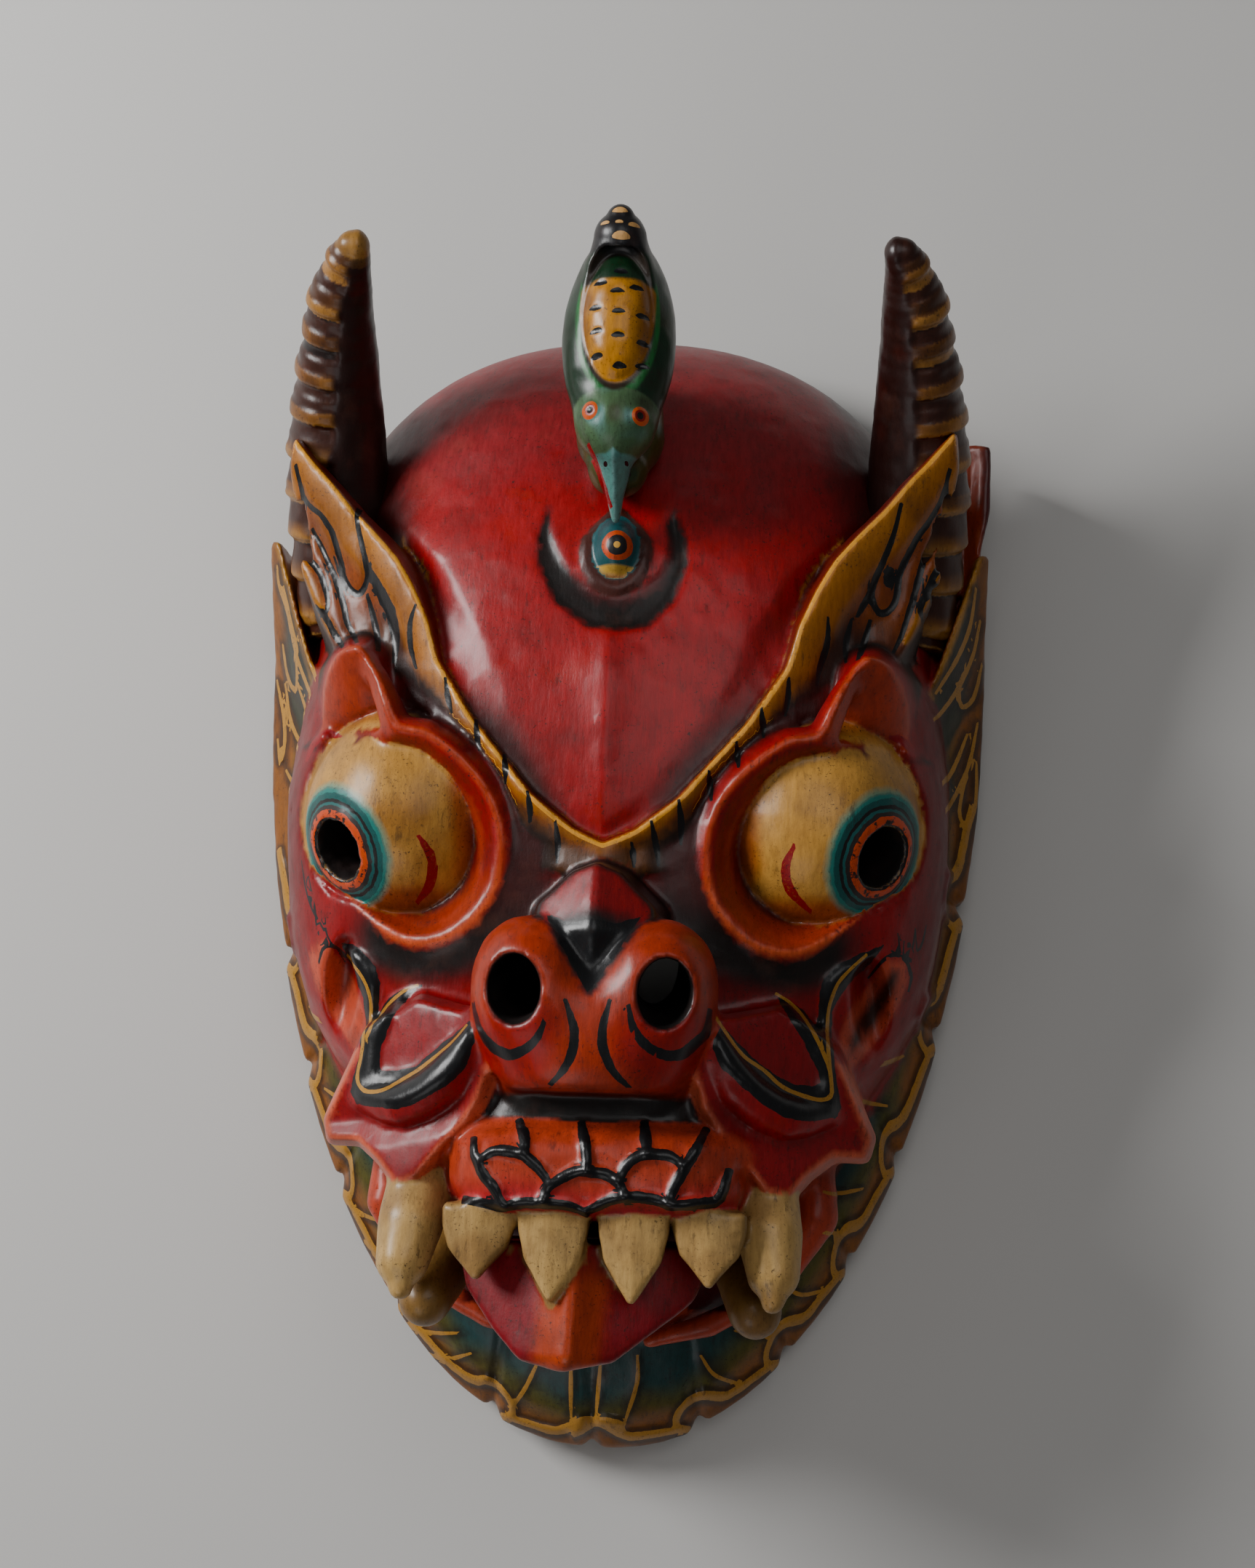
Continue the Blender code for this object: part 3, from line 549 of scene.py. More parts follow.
def lidForm(x, y, z):
    # a crest on a broader base, from the hood's peak round under the eye
    curve = smoothCurve(eye["lid"][3:], 2)
    sizes = np.interp(np.linspace(0, 1, len(curve)), [0, 0.2, 0.7, 1], [0.5, 1.0, 1.2, 0.6])
    crest = sweep(abs(x), y, z, [p + (0, 0, 3.2) for p in curve], list(eye["crest"] * sizes))
    roll = sweep(abs(x), y, z, [p - (0, 0, 4.5) for p in curve], list(eye["roll"] * sizes))
    return softMin(crest, roll, 6)


def lidPlace(x, y):
    # distance inwards from the lid's crest, and the crest's height there
    curve = smoothCurve(eye["lid"], 2)
    across = abs(x)
    nearest, height = np.full(np.broadcast(x, y).shape, 4 * clear), np.zeros(np.broadcast(x, y).shape)
    for a, b in zip(curve, curve[1:]):
        ex, ey = b[0] - a[0], b[1] - a[1]
        along = np.clip(((across - a[0]) * ex + (y - a[1]) * ey) / (ex * ex + ey * ey), 0, 1)
        gap = np.hypot(across - a[0] - along * ex, y - a[1] - along * ey)
        height = np.where(gap < nearest, a[2] + (b[2] - a[2]) * along + 6, height)
        nearest = np.minimum(nearest, gap)
    inside = outline(across, y, [(p[0], p[1]) for p in curve]) < 0
    return np.where(inside, nearest, -nearest), height


def coveHeight(x, y):
    # the hollow slope from the crest down to the eyeball, with a thin second rim, and the hood above
    inwards, crest = lidPlace(x, y)
    share = np.clip(inwards / eye["hollowWidth"], 0, 1)
    rim = eye["rimHeight"] * np.exp(-((inwards - eye["rimAt"]) / 2) ** 2)
    cove = crest - eye["hollowDepth"] * (1 - (1 - share) ** 2) + rim
    hood = eye["hoodFoot"] + eye["hoodRise"] * np.clip((y - 15) / 33, 0, 1)
    hood = hood - 0.03 * np.clip(abs(x) - 104, 0, None) ** 2
    return inwards, cove + (hood - cove) * ramp(y, 12, 22)


def eyeWell(x, y, z):
    # what is cleared away above that slope, so that the face doesn't fill it
    inwards, height = coveHeight(x, y)
    return np.maximum(1.0 - inwards, height - 2 * np.clip(inwards - eye["hollowWidth"], 0, 12) - z)


def coveForm(x, y, z):
    inwards, height = coveHeight(x, y)
    flank = -inwards - 0.45 * np.clip(height - z, 0, 30)
    return np.maximum(np.maximum(np.maximum(flank, inwards - 26), z - height), 70 - z)


# Nose
nose = {"strokes": [[(-9, -101), (-6, -109), (-5, -117), (-8, -126), (-14, -133)],
                    [(8, -101), (6, -110), (6, -118), (10, -127), (16, -133)]],
        "nostril": (29.5, -96.0, 178.0), "nostrilRadius": 10.5,
        "diamond": [(0, -47), (8, -50), (21, -63), (12, -79), (0, -97), (-1, -97), (-1, -47)]}


def wingOfNose(x, y, z):
    return ellipsoid(abs(x), y, z, (25, -95, head["noseTop"] - 36), (25, 30, 36), 2.2)


def noseTip(x, y, z):
    return ellipsoid(x, y, z, (0, -114, head["noseTop"] - 43), (41, 34, 39), 2.4)


def noseBridge(x, y, z):
    flat = outline(abs(x), y, nose["diamond"])
    roof = z - (head["noseTop"] - 8 - 0.55 * abs(x) - 0.35 * abs(y + 72))
    return np.maximum(flat - 0.13 * np.clip(head["noseTop"] - z, 0, 60), roof)


def snoutForm(x, y, z):
    return softMin(wingOfNose(x, y, z), noseTip(x, y, z), 9)


def noseForm(x, y, z):
    return np.minimum(snoutForm(x, y, z), noseBridge(x, y, z))


def lipBlock(x, y, z):
    return ellipsoid(x, y, z, (0, -150, 95), (60, 27, 55), 3)


# Moustache, lip flares, mouth
lips = {"flare": [(36, -118), (41, -125), (46, -140), (53, -150), (62, -160), (71, -172), (80, -174),
                  (88, -165), (98, -157), (111, -157), (113, -150), (107, -136), (98, -116), (74, -100),
                  (50, -106)],
        "leftCurl": [(-114, -74), (-108, -75), (-102, -79), (-96, -85), (-94, -92), (-95, -106), (-92, -100),
                     (-85, -95), (-74, -92), (-81, -98), (-86, -112), (-89, -120), (-89, -129), (-81, -129),
                     (-73, -127), (-65, -120), (-57, -114), (-50, -108), (-47, -116), (-51, -128),
                     (-57, -134), (-65, -139), (-72, -143), (-80, -145), (-91, -144), (-99, -143),
                     (-102, -138), (-100, -129), (-98, -120), (-101, -109), (-102, -98), (-107, -88),
                     (-112, -81)],
        "rightCurl": [(51, -107), (57, -112), (64, -119), (74, -126), (81, -129), (89, -130), (92, -128),
                      (91, -123), (85, -112), (79, -103), (73, -92), (79, -94), (86, -99), (90, -104),
                      (91, -98), (91, -92), (93, -84), (99, -78), (108, -73), (119, -68), (113, -76),
                      (105, -84), (100, -91), (97, -98), (97, -109), (98, -123), (100, -132), (101, -138),
                      (99, -142), (89, -144), (78, -143), (69, -138), (60, -131), (52, -124), (48, -116)],
        "leaf": [(128, -74), (119, -75), (111, -87), (103, -99), (100, -110), (102, -118), (99, -127),
                 (109, -118), (120, -104), (127, -91), (130, -81)],
        "curlSwell": 2.4}
mouth = {"shift": 3.0, "frontTeeth": [(16.0, 28, -218), (46.5, 29, -210)], "toothThickness": 11.0,
         "lineHeight": 1.2, "fangRadii": [13, 13.5, 11, 5],
         "tongue": [(-54, -196), (-49, -215), (-37, -231), (-25, -243), (-8, -246), (12, -242), (28, -230),
                    (43, -218), (52, -196)]}
gumLines = strokes([
    [(-46, -157), (-45, -162), (-42, -168), (-37, -174), (-34, -179), (-32, -182)],
    [(-42, -163), (-37, -160), (-30, -160), (-24, -162), (-19, -166), (-15, -171)],
    [(-28, -149), (-25, -155), (-25, -160)], [(-3, -149), (-1, -155), (0, -161), (1, -167)],
    [(-17, -179), (-15, -174), (-10, -170), (-4, -167), (3, -167), (9, -168), (14, -172), (16, -177)],
    [(22, -148), (23, -153), (24, -158)],
    [(13, -170), (16, -164), (21, -160), (28, -159), (34, -160), (38, -163)],
    [(46, -150), (43, -157), (39, -164), (36, -170), (33, -177)],
    [(56, -166), (54, -173), (51, -177), (42, -178), (33, -179)],
    [(-48, -180), (-39, -181), (-33, -182), (-25, -180), (-18, -180), (-10, -180), (-5, -181), (0, -183)],
    [(0, -183), (5, -180), (12, -177), (20, -176), (28, -177), (34, -179), (42, -179)]], 2.3, 0.35,
    (138, 190))


def flareForm(x, y, z):
    x = abs(x)
    height = 152 - 0.50 * np.clip(x - 45, 0, None) + 0.10 * np.clip(-150 - y, 0, 30)
    dish = 5 * np.clip(1 - abs(y + 143 + 0.2 * (x - 70)) / 14, 0, 1) * ramp(x, 44, 60)
    flat = outline(x, y, lips["flare"]) - 0.25 * np.clip(height - z, 0, 14)
    return np.maximum(np.maximum(flat, z - height + dish), 58 - z)


def curlForm(x, y, z):
    path = [(44, -110, 150), (58, -132, 146), (78, -144, 136), (98, -140, 120)]
    radii = np.interp(np.linspace(0, 3, 10), range(4), [5, 7.5, 7.5, 5])
    return sweep(abs(x), y, z, smoothCurve(path, 3), list(radii))


def pitForm(x, y, z):
    return ellipsoid(abs(x), y + (abs(x) - 116) * 1.2, z, (116, -102, 104), (11, 27, 26))


def gumForm(x, y, z):
    return ellipsoid(x, y, z, (mouth["shift"], -167, 110), (62, 21, 53), 3.6)


def tongueMiddle(y):
    return np.interp(y, [-246, -210], [-7, -4])


def tongueForm(x, y, z):
    height = 154 - 0.34 * abs(x + 5) - 0.10 * (y + 246) + 4 * np.exp(-((x - tongueMiddle(y)) / 8) ** 2)
    height = height - 5 * ramp(y, -240, -247)
    floor = 122 - 1.1 * np.clip(y + 240, 0, 40)
    return np.maximum(np.maximum(outline(x, y, mouth["tongue"]), z - height), floor - z)


def toothForm(x, y, z):
    teeth = []
    for middle, width, tip in mouth["frontTeeth"]:
        for side in (-1, 1):
            centre, half = mouth["shift"] + side * middle, width / 2
            level = [-190 + share * (tip + 190) for share in (0.42, 0.74)]
            plate = [(centre - half, -181), (centre - half, -190), (centre - half * 0.82, level[0]),
                     (centre - half * 0.42, level[1]), (centre, tip - 2), (centre + half * 0.42, level[1]),
                     (centre + half * 0.82, level[0]), (centre + half, -190), (centre + half, -181)]
            front = 157.5 - 0.17 * abs(x - centre) - 0.0011 * (centre - mouth["shift"]) ** 2
            teeth.append(np.maximum(np.maximum(outline(x, y, plate), z - front),
                                    front - mouth["toothThickness"] - z))
    return np.minimum.reduce(teeth)


def fangForm(x, y, z):
    return sweep(abs(x), y, z, [(71, -170, 120), (73, -190, 132), (75, -205, 137), (75, -216, 140)],
                 mouth["fangRadii"])


def lowerLip(x, y, z):
    path = [(22, -240, 54), (48, -232, 56), (66, -222, 58), (82, -206, 60), (93, -184, 62), (92, -156, 58)]
    return sweep(abs(x), y, z, path, [3, 5, 5, 6, 9.5, 8])


def lowerTeeth(x, y, z):
    x = abs(x)
    return np.minimum.reduce([cone(x, y, z, (63, -202, 84), (68, -222, 115), 15, 11),
                              cone(x, y, z, (44, -220, 76), (47, -240, 114), 10, 7.5),
                              cone(x, y, z, (15, -226, 76), (15, -243, 106), 6, 4)])


# Third eye and the crescent round it
third = {"centre": (1.0, 95.0), "dropRadii": (10.5, 15, 19), "rimRadius": 2.6,
         "moon": [(-30, 116), (-34, 101), (-33, 88), (-25, 71), (-11, 60), (3, 58),
                  (16, 61), (26, 73), (31, 89), (30, 102), (24, 114), (21, 108), (22, 100), (22, 93),
                  (18, 85), (11, 79), (1, 77), (-10, 79), (-19, 85), (-25, 94), (-29, 105)]}


def dropForm(x, y, z):
    return ellipsoid(x, y, z, (0, 95, 112), third["dropRadii"])


def rimOfDrop(x, y, z):
    pinch = np.clip(1 - (y - 100) / 26, 0.35, 1)
    around = np.sqrt((x / pinch / 12.5) ** 2 + ((y - 95) / 17) ** 2) * 14.5
    return np.sqrt((around - 14.5) ** 2 + (z - domeHeight(x, y)) ** 2) - third["rimRadius"]


# Hollow back
def hollowForm(x, y, z):
    domeTop, chin, half = head["domeTop"], head["chin"], head["domeHalf"] - head["rimWidth"]
    down = np.where(y > 20, (y - 20) / (domeTop - 20 - head["rimWidth"]),
                    (20 - y) / (20 - chin - head["rimWidth"] - 26))
    share = (abs(x) / half) ** 2.3 + abs(down) ** 2.3
    roof = (116 - head["wall"]) * np.clip(1 - share, 0, 1) ** 0.55
    return (z - roof + 60 * np.clip(share - 1, 0, None)) * 0.6


def muzzleForm(x, y, z):
    return ellipsoid(x, y, z, (0, -104, 40), (44, 60, 126 - head["wall"]))


def socketForm(x, y, z):
    size = 62 - head["wall"]
    return ellipsoid(abs(x), y, z, (84, -16, 30), (size, size, head["eyeTop"] - 32 - head["wall"]))


def boreForm(x, y, z, mouthPoint, inward, radius, floor):
    inner = [m + 110 * i for m, i in zip(mouthPoint, inward)]
    outer = [m - 40 * i for m, i in zip(mouthPoint, inward)]
    return np.maximum(cone(x, y, z, inner, outer, radius, radius), floor - z)


def pupilBore(x, y, z, side):
    aim = np.array(eye["aims"][side])
    mouthPoint = np.array(eye["centre"]) * (side, 1, 1) + eye["long"] * aim
    chips = 0.7 * np.sin(x * 0.9 + 1) * np.sin(y * 0.8) * (1.4 if side < 0 else 0.4)
    return boreForm(x, y, z, mouthPoint, -aim, eye["bore"], 62) + chips


def nostrilBore(x, y, z):
    px, py, pz = nose["nostril"]
    return boreForm(abs(x), y * 0.8, z, (px, py * 0.8, pz), (-0.11, 0.20, -0.97), nose["nostrilRadius"], 88)


def carveHead(volume):
    full = (-175, -300, -9), (175, 245, 205)
    addWood(volume, (-170, -60, -9), (170, 240, 200), domeForm)
    addWood(volume, (-170, -300, -9), (170, 130, 200), faceForm, 14)
    addWood(volume, (-170, -300, -9), (170, 118, 80), collarForm, 3)
    bothSides(addWood, volume, (120, -20, -9), (170, 120, 80), wingForm, 2)
    addWood(volume, (-170, 70, 5), (170, 180, 60), earForm, 5)
    addWood(volume, (-160, -60, 50), (160, 165, 150), browForm, 1.5)
    addWood(volume, (-160, -90, -9), (160, 60, 150), lidMass, 12)
    bothSides(cutWood, volume, (30, -90, 60), (140, 64, 160), eyeWell, 1)
    bothSides(addWood, volume, (30, -90, 60), (140, 64, 150), coveForm, 2)
    bothSides(addWood, volume, (30, -90, 60), (140, 64, 150), lidForm, 4)
    for side in (1, -1):
        low, high = sorted((side * 20, side * 160))
        wood, x, y, z = window(volume, (low, -80, 80), (high, 60, 160))
        wood[...] = -softMin(-wood, np.maximum(eyeball(x, y, z, side, 1.3), -3 - wood), 1)
        addWood(volume, (low, -80, 20), (high, 60, 150), lambda x, y, z: irisBall(x, y, z, side), 0.6)
    addWood(volume, (-55, -150, 80), (55, -60, 200), snoutForm, 5)
    addWood(volume, (-60, -110, 100), (60, -30, 200), noseBridge, 2)
    addWood(volume, (-70, -185, 30), (70, -115, 160), lipBlock, 4)
    cutWood(volume, (-48, -156, 120), (48, -130, 200),
            lambda x, y, z: np.maximum(np.maximum(y + 136, -156 - y), 149 - z), 3)
    addWood(volume, (-125, -190, 50), (125, -90, 170), flareForm, 6)
    addWood(volume, (-115, -160, 100), (115, -95, 170), curlForm, 3)
    bothSides(cutWood, volume, (95, -140, 60), (140, -65, 150), pitForm, 3)
    addWood(volume, (-70, -200, 50), (80, -140, 175), gumForm, 3)
    addWood(volume, (-110, -260, 30), (110, -140, 80), lowerLip, 4)
    addWood(volume, (-70, -255, 50), (80, -190, 170), tongueForm, 2)
    addWood(volume, (-80, -225, 135), (90, -170, 168), toothForm, 0.6)
    addWood(volume, (-95, -225, 90), (95, -140, 160), fangForm, 1.5)
    addWood(volume, (-90, -250, 50), (90, -180, 135), lowerTeeth, 1)
    wood, x, y, z = window(volume, (-45, 50, 90), (45, 130, 140))
    wood += 1.3 * ramp(outline(x, y, third["moon"]), 1.0, -3.0)
    addWood(volume, (-25, 65, 90), (25, 130, 145), rimOfDrop, 1.5)
    addWood(volume, (-20, 70, 90), (20, 120, 145), dropForm, 1)
    cutWood(volume, *full, lambda x, y, z: z)


def reliefHead(volume):
    for groove in flameGrooves:
        relieve(volume, groove, -brow["grooveDepth"])
    for tick in browTicks:
        relieve(volume, tick, -brow["tickDepth"])
    for line in gumLines:
        relieve(volume, line, mouth["lineHeight"])
    for line in ribs:
        relieve(volume, line, 0.8)
    for stroke in strokes(nose["strokes"], 1.8, 0.7, (150, 200)):
        relieve(volume, stroke, -0.6)
    collarRelief(volume)
    for corners in (lips["leftCurl"], lips["rightCurl"]):
        wood, x, y, z = window(volume, (-125 if corners[0][0] < 0 else 40, -150, 80),
                               (-40 if corners[0][0] < 0 else 125, -60, 170))
        wood -= lips["curlSwell"] * ramp(outline(x, y, corners), 0.6, -3.0)


# Painted lines
ribs = strokes([
    [(-133, -84), (-129, -90), (-123, -94)], [(-138, -99), (-128, -106), (-115, -110)],
    [(-129, -136), (-121, -140), (-112, -143)], [(-120, -185), (-110, -191), (-99, -194)],
    [(-109, -204), (-103, -208), (-92, -210)], [(-93, -236), (-86, -241), (-76, -242), (-63, -241)],
    [(-78, -252), (-70, -254), (-58, -250)], [(-26, -250), (-32, -263), (-40, -275)],
    [(-12, -250), (-12, -264), (-12, -275)], [(1, -250), (0, -263), (-1, -274)],
    [(17, -246), (17, -259), (12, -276)], [(45, -247), (51, -255), (64, -260)],
    [(60, -235), (67, -236), (74, -238)], [(80, -215), (88, -219), (98, -217)],
    [(95, -173), (103, -174), (113, -172)], [(95, -190), (104, -192)],
    [(112, -116), (119, -118), (130, -113)], [(103, -133), (113, -134), (123, -135)],
    [(-152, 70), (-148, 58), (-142, 44), (-130, 24)], [(-145, 68), (-140, 54), (-131, 36)],
    [(-158, 66), (-156, 53), (-151, 45), (-149, 51), (-149, 60)], [(-158, 50), (-153, 30), (-138, 7)],
    [(-148, 45), (-141, 29), (-133, 15)], [(-163, 52), (-158, 34), (-157, 22), (-159, 14), (-161, 24)],
    [(-155, 9), (-143, -9)], [(-160, 100), (-159, 92), (-154, 80), (-150, 66)],
    [(-156, 90), (-152, 76), (-147, 60)], [(158, 96), (156, 80), (150, 64), (141, 48)],
    [(161, 84), (158, 68), (150, 50), (138, 32)], [(163, 66), (160, 52), (154, 46), (152, 54), (155, 62)],
    [(162, 40), (158, 20), (150, 2), (142, -12)], [(157, 34), (150, 16), (140, 0)],
    [(162, 22), (162, 4), (158, -8), (154, -2), (156, 10)]],
    0.95, 0.5, (14, 70))
moustacheGilt = strokes([
    [(-111, -80), (-104, -87), (-100, -93), (-98, -100), (-98, -108), (-97, -116), (-98, -125), (-99, -132),
     (-97, -136), (-93, -138), (-86, -137), (-79, -133), (-71, -128), (-63, -122), (-57, -117), (-52, -111)],
    [(-97, -119), (-94, -112), (-93, -105), (-89, -100), (-83, -95), (-78, -93)],
    [(50, -105), (55, -112), (61, -119), (69, -124), (76, -130), (83, -133), (91, -135), (96, -134),
     (97, -131), (96, -123), (95, -113), (95, -101), (96, -94), (99, -86), (104, -80), (110, -74)],
    [(96, -123), (93, -116), (89, -108), (84, -100), (79, -95), (74, -92)]], 0.85, 0.35, (80, 170))
lashes = strokes([
    [(-121, -64), (-120, -71), (-116, -77), (-114, -81)], [(-127, -60), (-125, -69), (-122, -76)],
    [(-134, -39), (-132, -50), (-128, -60), (-120, -71), (-115, -79)],
    [(-130, -46), (-126, -61), (-120, -73)], [(124, -63), (125, -70), (123, -73)],
    [(128, -62), (129, -69), (127, -73)], [(132, -60), (131, -68), (129, -73)],
    [(137, -58), (135, -67), (131, -73)]], 0.45, 0.6, (70, 110))
lashes += strokes([[(113, -81), (118, -75), (123, -72), (128, -74), (131, -80), (130, -86)],
                   [(-124, -82), (-122, -77), (-117, -76), (-112, -80)]], 0.9, 0.6, (70, 110))
nostrilShade = strokes([
    [(-47, -103), (-45, -111), (-40, -118), (-33, -122), (-26, -121), (-20, -116), (-17, -109)],
    [(16, -103), (18, -111), (23, -117), (29, -120), (36, -120), (42, -115), (46, -110), (47, -103)]],
    2.1, 0.7, (140, 200))
eyeArcs = strokes([
    [(-134, 6), (-131, 12), (-124, 16), (-117, 14)],
    [(-77, -32), (-73, -38), (-72, -44), (-74, -51), (-79, -57)],
    [(79, -31), (76, -38), (76, -44), (79, -50), (86, -56)], [(120, 20), (125, 19), (129, 14)]], 2.0, 0.75,
    (80, 140))
blackAreas = [lips["leftCurl"], lips["rightCurl"],
              [(-1, -97), (-6, -89), (-12, -79), (-20, -65), (-10, -69), (0, -68), (9, -69), (19, -65),
               (11, -79), (5, -89)]]

# Painting the head: ground colours here, the shades brushed over them beside each part
headPaint = {"face": "#A3181D", "crown": "#AB0E16", "brow": "#94491E", "gilding": "#C48036",
             "giltShade": "#A8661F", "lidRoll": "#A81E1E", "lidCrest": "#C04A30", "lidHollow": "#8E1A18",
             "secondRim": "#A2341F", "hood": "#B2432C", "eyeball": "#CE9A50", "nose": "#B03C26",
             "flare": "#9A1A20", "gum": "#BE4A36", "tongue": "#8C1420", "tooth": "#CFA96C",
             "lowerTooth": "#8E6C3C", "collarInside": "#1F4848", "collarMiddle": "#5E5822",
             "collarEdge": "#94591C", "bareInside": "#6A4A30"}


def paintHead(piece, volume):
    places = cornersOf(piece)
    x, y, z = places.T
    across = abs(x)
    crevice = sample(volume, meanAround(volume, 4.0), places)
    hollowShade = sample(volume, meanAround(volume, 11.0), places)
    depth = sample(volume, volume["solid"], places)
    forms = {"dome": domeForm(x, y, z), "face": np.maximum(faceForm(x, y, z) - 1, -eyeWell(x, y, z)),
             "collar": collarForm(x, y, z), "wing": wingForm(across, y, z), "ear": earForm(x, y, z),
             "brow": browForm(x, y, z), "lidMass": lidMass(x, y, z), "cove": coveForm(x, y, z) - 0.5,
             "lid": lidForm(x, y, z), "nose": noseForm(x, y, z) - 0.6, "lipBlock": lipBlock(x, y, z),
             "flare": flareForm(x, y, z) - 0.5, "curl": curlForm(x, y, z), "gum": gumForm(x, y, z) - 0.8,
             "tongue": tongueForm(x, y, z), "tooth": toothForm(x, y, z) - 0.4,
             "fang": fangForm(x, y, z) - 0.4, "lower": lowerTeeth(x, y, z) - 0.3,
             "lowerLip": lowerLip(x, y, z) - 1.0, "dropRim": rimOfDrop(x, y, z),
             "drop": dropForm(x, y, z),
             "eyeball": np.minimum(irisBall(x, y, z, 1), irisBall(x, y, z, -1)) - 0.5}
    nearest = np.minimum.reduce(list(forms.values()))
    owns = {name: ramp(form - nearest, 1.3, 0.3) for name, form in forms.items()}
    wander = sample(volume, unevenness(volume["axes"], 16, 5), places)
    paintwork = np.tile(colour(headPaint["face"]), (len(places), 1))

    # face: red, darker towards the collar and below the lids
    lay(paintwork, ramp(across, 118, 146) * 0.75, "#5A1215")
    # under the lower lids: black paint and painted shade
    underEye = ramp(forms["lid"], 17, 5) * ramp(y, -52, -70) * ramp(across, 118, 96)
    lay(paintwork, underEye, "#171413")
    lay(paintwork, ramp(y, -150, -164) * owns["face"], "#C9533E")

    # crown
    crown = np.maximum(owns["dome"], owns["dropRim"])
    lay(paintwork, crown, headPaint["crown"])
    # painted dull sheen and shade over the crown's top, where it turns away
    lay(paintwork, crown * ramp(y + 10 * wander, 100, 150) * 0.7, "#8A3236")
    lay(paintwork, crown * ramp(across, foreheadEdge(y) - 3, foreheadEdge(y) + 5) * (y < 128) * 0.85,
        "#6E0D12")
    # beside the horns' feet: dark paint and painted shade
    hornSide = np.hypot(np.clip(across - 112, -60, 0), 0.35 * np.clip(abs(y - 130) - 40, 0, None))
    lay(paintwork, crown * ramp(hornSide + 4 * wander, 30, 6) * (y > 60) * 0.85, "#24100D")
    lay(paintwork, crown * ramp(domeShare(x, y), 0.955, 0.972) * ramp(z, 46, 30), "#33302D")

    # brows: gilded along the inner edge, umber in the middle
    up = browPlace(x, y)[1]
    gap, share = browBand(across, up)
    inside = -browFlat(x, y)
    lay(paintwork, owns["brow"], headPaint["brow"])
    lay(paintwork, owns["brow"] * ramp(up + 7 * wander + (across - 110) * 0.3, 80, 50) * ramp(gap, 5, 12),
        "#3E1E12")
    lay(paintwork, owns["brow"] * ramp(up, 40, 20) * ramp(share, 0.8, 1.6), "#5A3518")
    lay(paintwork, owns["brow"] * ramp(inside, 5.0, 1.5) * (up > 60), "#B9782B")
    lay(paintwork, owns["brow"] * ramp(share, 1.3, 0.8), headPaint["giltShade"])
    lay(paintwork, owns["brow"] * ramp(share, 0.75, 0.2), headPaint["gilding"])
    lay(paintwork, owns["brow"] * ramp(wander, -0.1, 1.3) * 0.5 * ramp(share, 0.1, 0.4), "#74441A")
    lay(paintwork, owns["brow"] * ramp(inside, 0.6, -1.2) * (gap < 6) * 0.95, "#7A0F14")
    lay(paintwork, owns["brow"] * ramp(inside, 0.6, -1.5) * (gap > 7), "#2A1916")

    # lids: a thin orange crest, a crimson hollow with a second rim in it, an orange hood
    inwards = lidPlace(x, y)[0]
    onLid = np.maximum.reduce([owns["lidMass"], owns["lid"], owns["cove"]])
    hooded = ramp(y + 2 * wander, 8, 20)
    # dark paint and painted shade on the lid mass and in the ditch between lid and brow
    lay(paintwork, onLid, "#241714")
    ditch = ramp(inwards, -34, -18) * ramp(across, 104, 84) * ramp(y, 62, 44) * ramp(y, -96, -78)
    lay(paintwork, ditch * np.maximum(owns["face"], owns["lidMass"]) * 0.9, "#1D1311")
    lay(paintwork, onLid * ramp(inwards, -11, -4) * ramp(y, -76, -56), "#8E1218")
    lay(paintwork, onLid * ramp(inwards, -6, -1.5), headPaint["lidRoll"])
    lower = ramp(y, -38, -56)
    lay(paintwork, onLid * ramp(abs(inwards + 0.3), 2.2, 0.8), headPaint["lidCrest"])
    # the lower lid's crest lighter and broader: orange paint and a painted highlight
    lay(paintwork, onLid * ramp(abs(inwards + 0.3), 3.4, 1.2) * lower, "#DA6240")
    lay(paintwork, onLid * ramp(inwards, 1.6, 3.6), headPaint["lidHollow"])
    lay(paintwork, onLid * ramp(inwards, 0, 1) * lower, "#A83C28")
    lay(paintwork, onLid * ramp(abs(inwards - eye["rimAt"]), 2.4, 0.8), headPaint["secondRim"])
    # painted shade at the bottom of the hollow, next to the eyeball
    lay(paintwork, onLid * ramp(inwards, 12, 14.5), "#5A1410")
    lay(paintwork, onLid * ramp(inwards, -1.5, 1.5) * hooded, headPaint["hood"])
    lay(paintwork, onLid * ramp(y + wander, 32, 22) * ramp(inwards, 5, 12) * hooded * 0.5, "#9A3018")

    # eyeballs
    lay(paintwork, owns["eyeball"], headPaint["eyeball"])
    lay(paintwork, owns["eyeball"] * ramp(wander, 0.1, 1.5) * 0.65, "#9A6428")
    lay(paintwork, owns["eyeball"] * ramp(across + 2 * wander, 67, 59), "#B4602C")
    lay(paintwork, owns["eyeball"] * ramp(across + wander, 60, 55), "#7E2016")
    lay(paintwork, owns["eyeball"] * ramp(y + wander, 16, 26) * 0.8, "#B8602A")
    lay(paintwork, owns["eyeball"] * ramp(y + wander, -48, -56) * 0.8, "#A8431F")

    # nose
    lay(paintwork, owns["nose"], headPaint["nose"])
    lay(paintwork, owns["nose"] * ramp(np.hypot(across - 29, y + 118) + 3 * wander, 24, 10), "#A81F1B")
    bridge = ramp(outline(across, y, nose["diamond"]), 2.2, 0.5)
    lay(paintwork, owns["nose"] * ramp(noseBridge(x, y, z), 4, 1.5) * (y > -92), "#2A1211")
    lay(paintwork, owns["nose"] * bridge * (z > 140), "#A0161B")
    lay(paintwork, owns["nose"] * bridge * ramp(y + 0.3 * across, -58, -66), "#1B1A1B")
    under = ramp(y, -134, -138) * ramp(y, -158, -153) * ramp(across, 52, 46)
    lay(paintwork, under * (z < 172), "#191614")
    lay(paintwork, owns["lipBlock"] * ramp(across, 40, 50), "#3A1312")

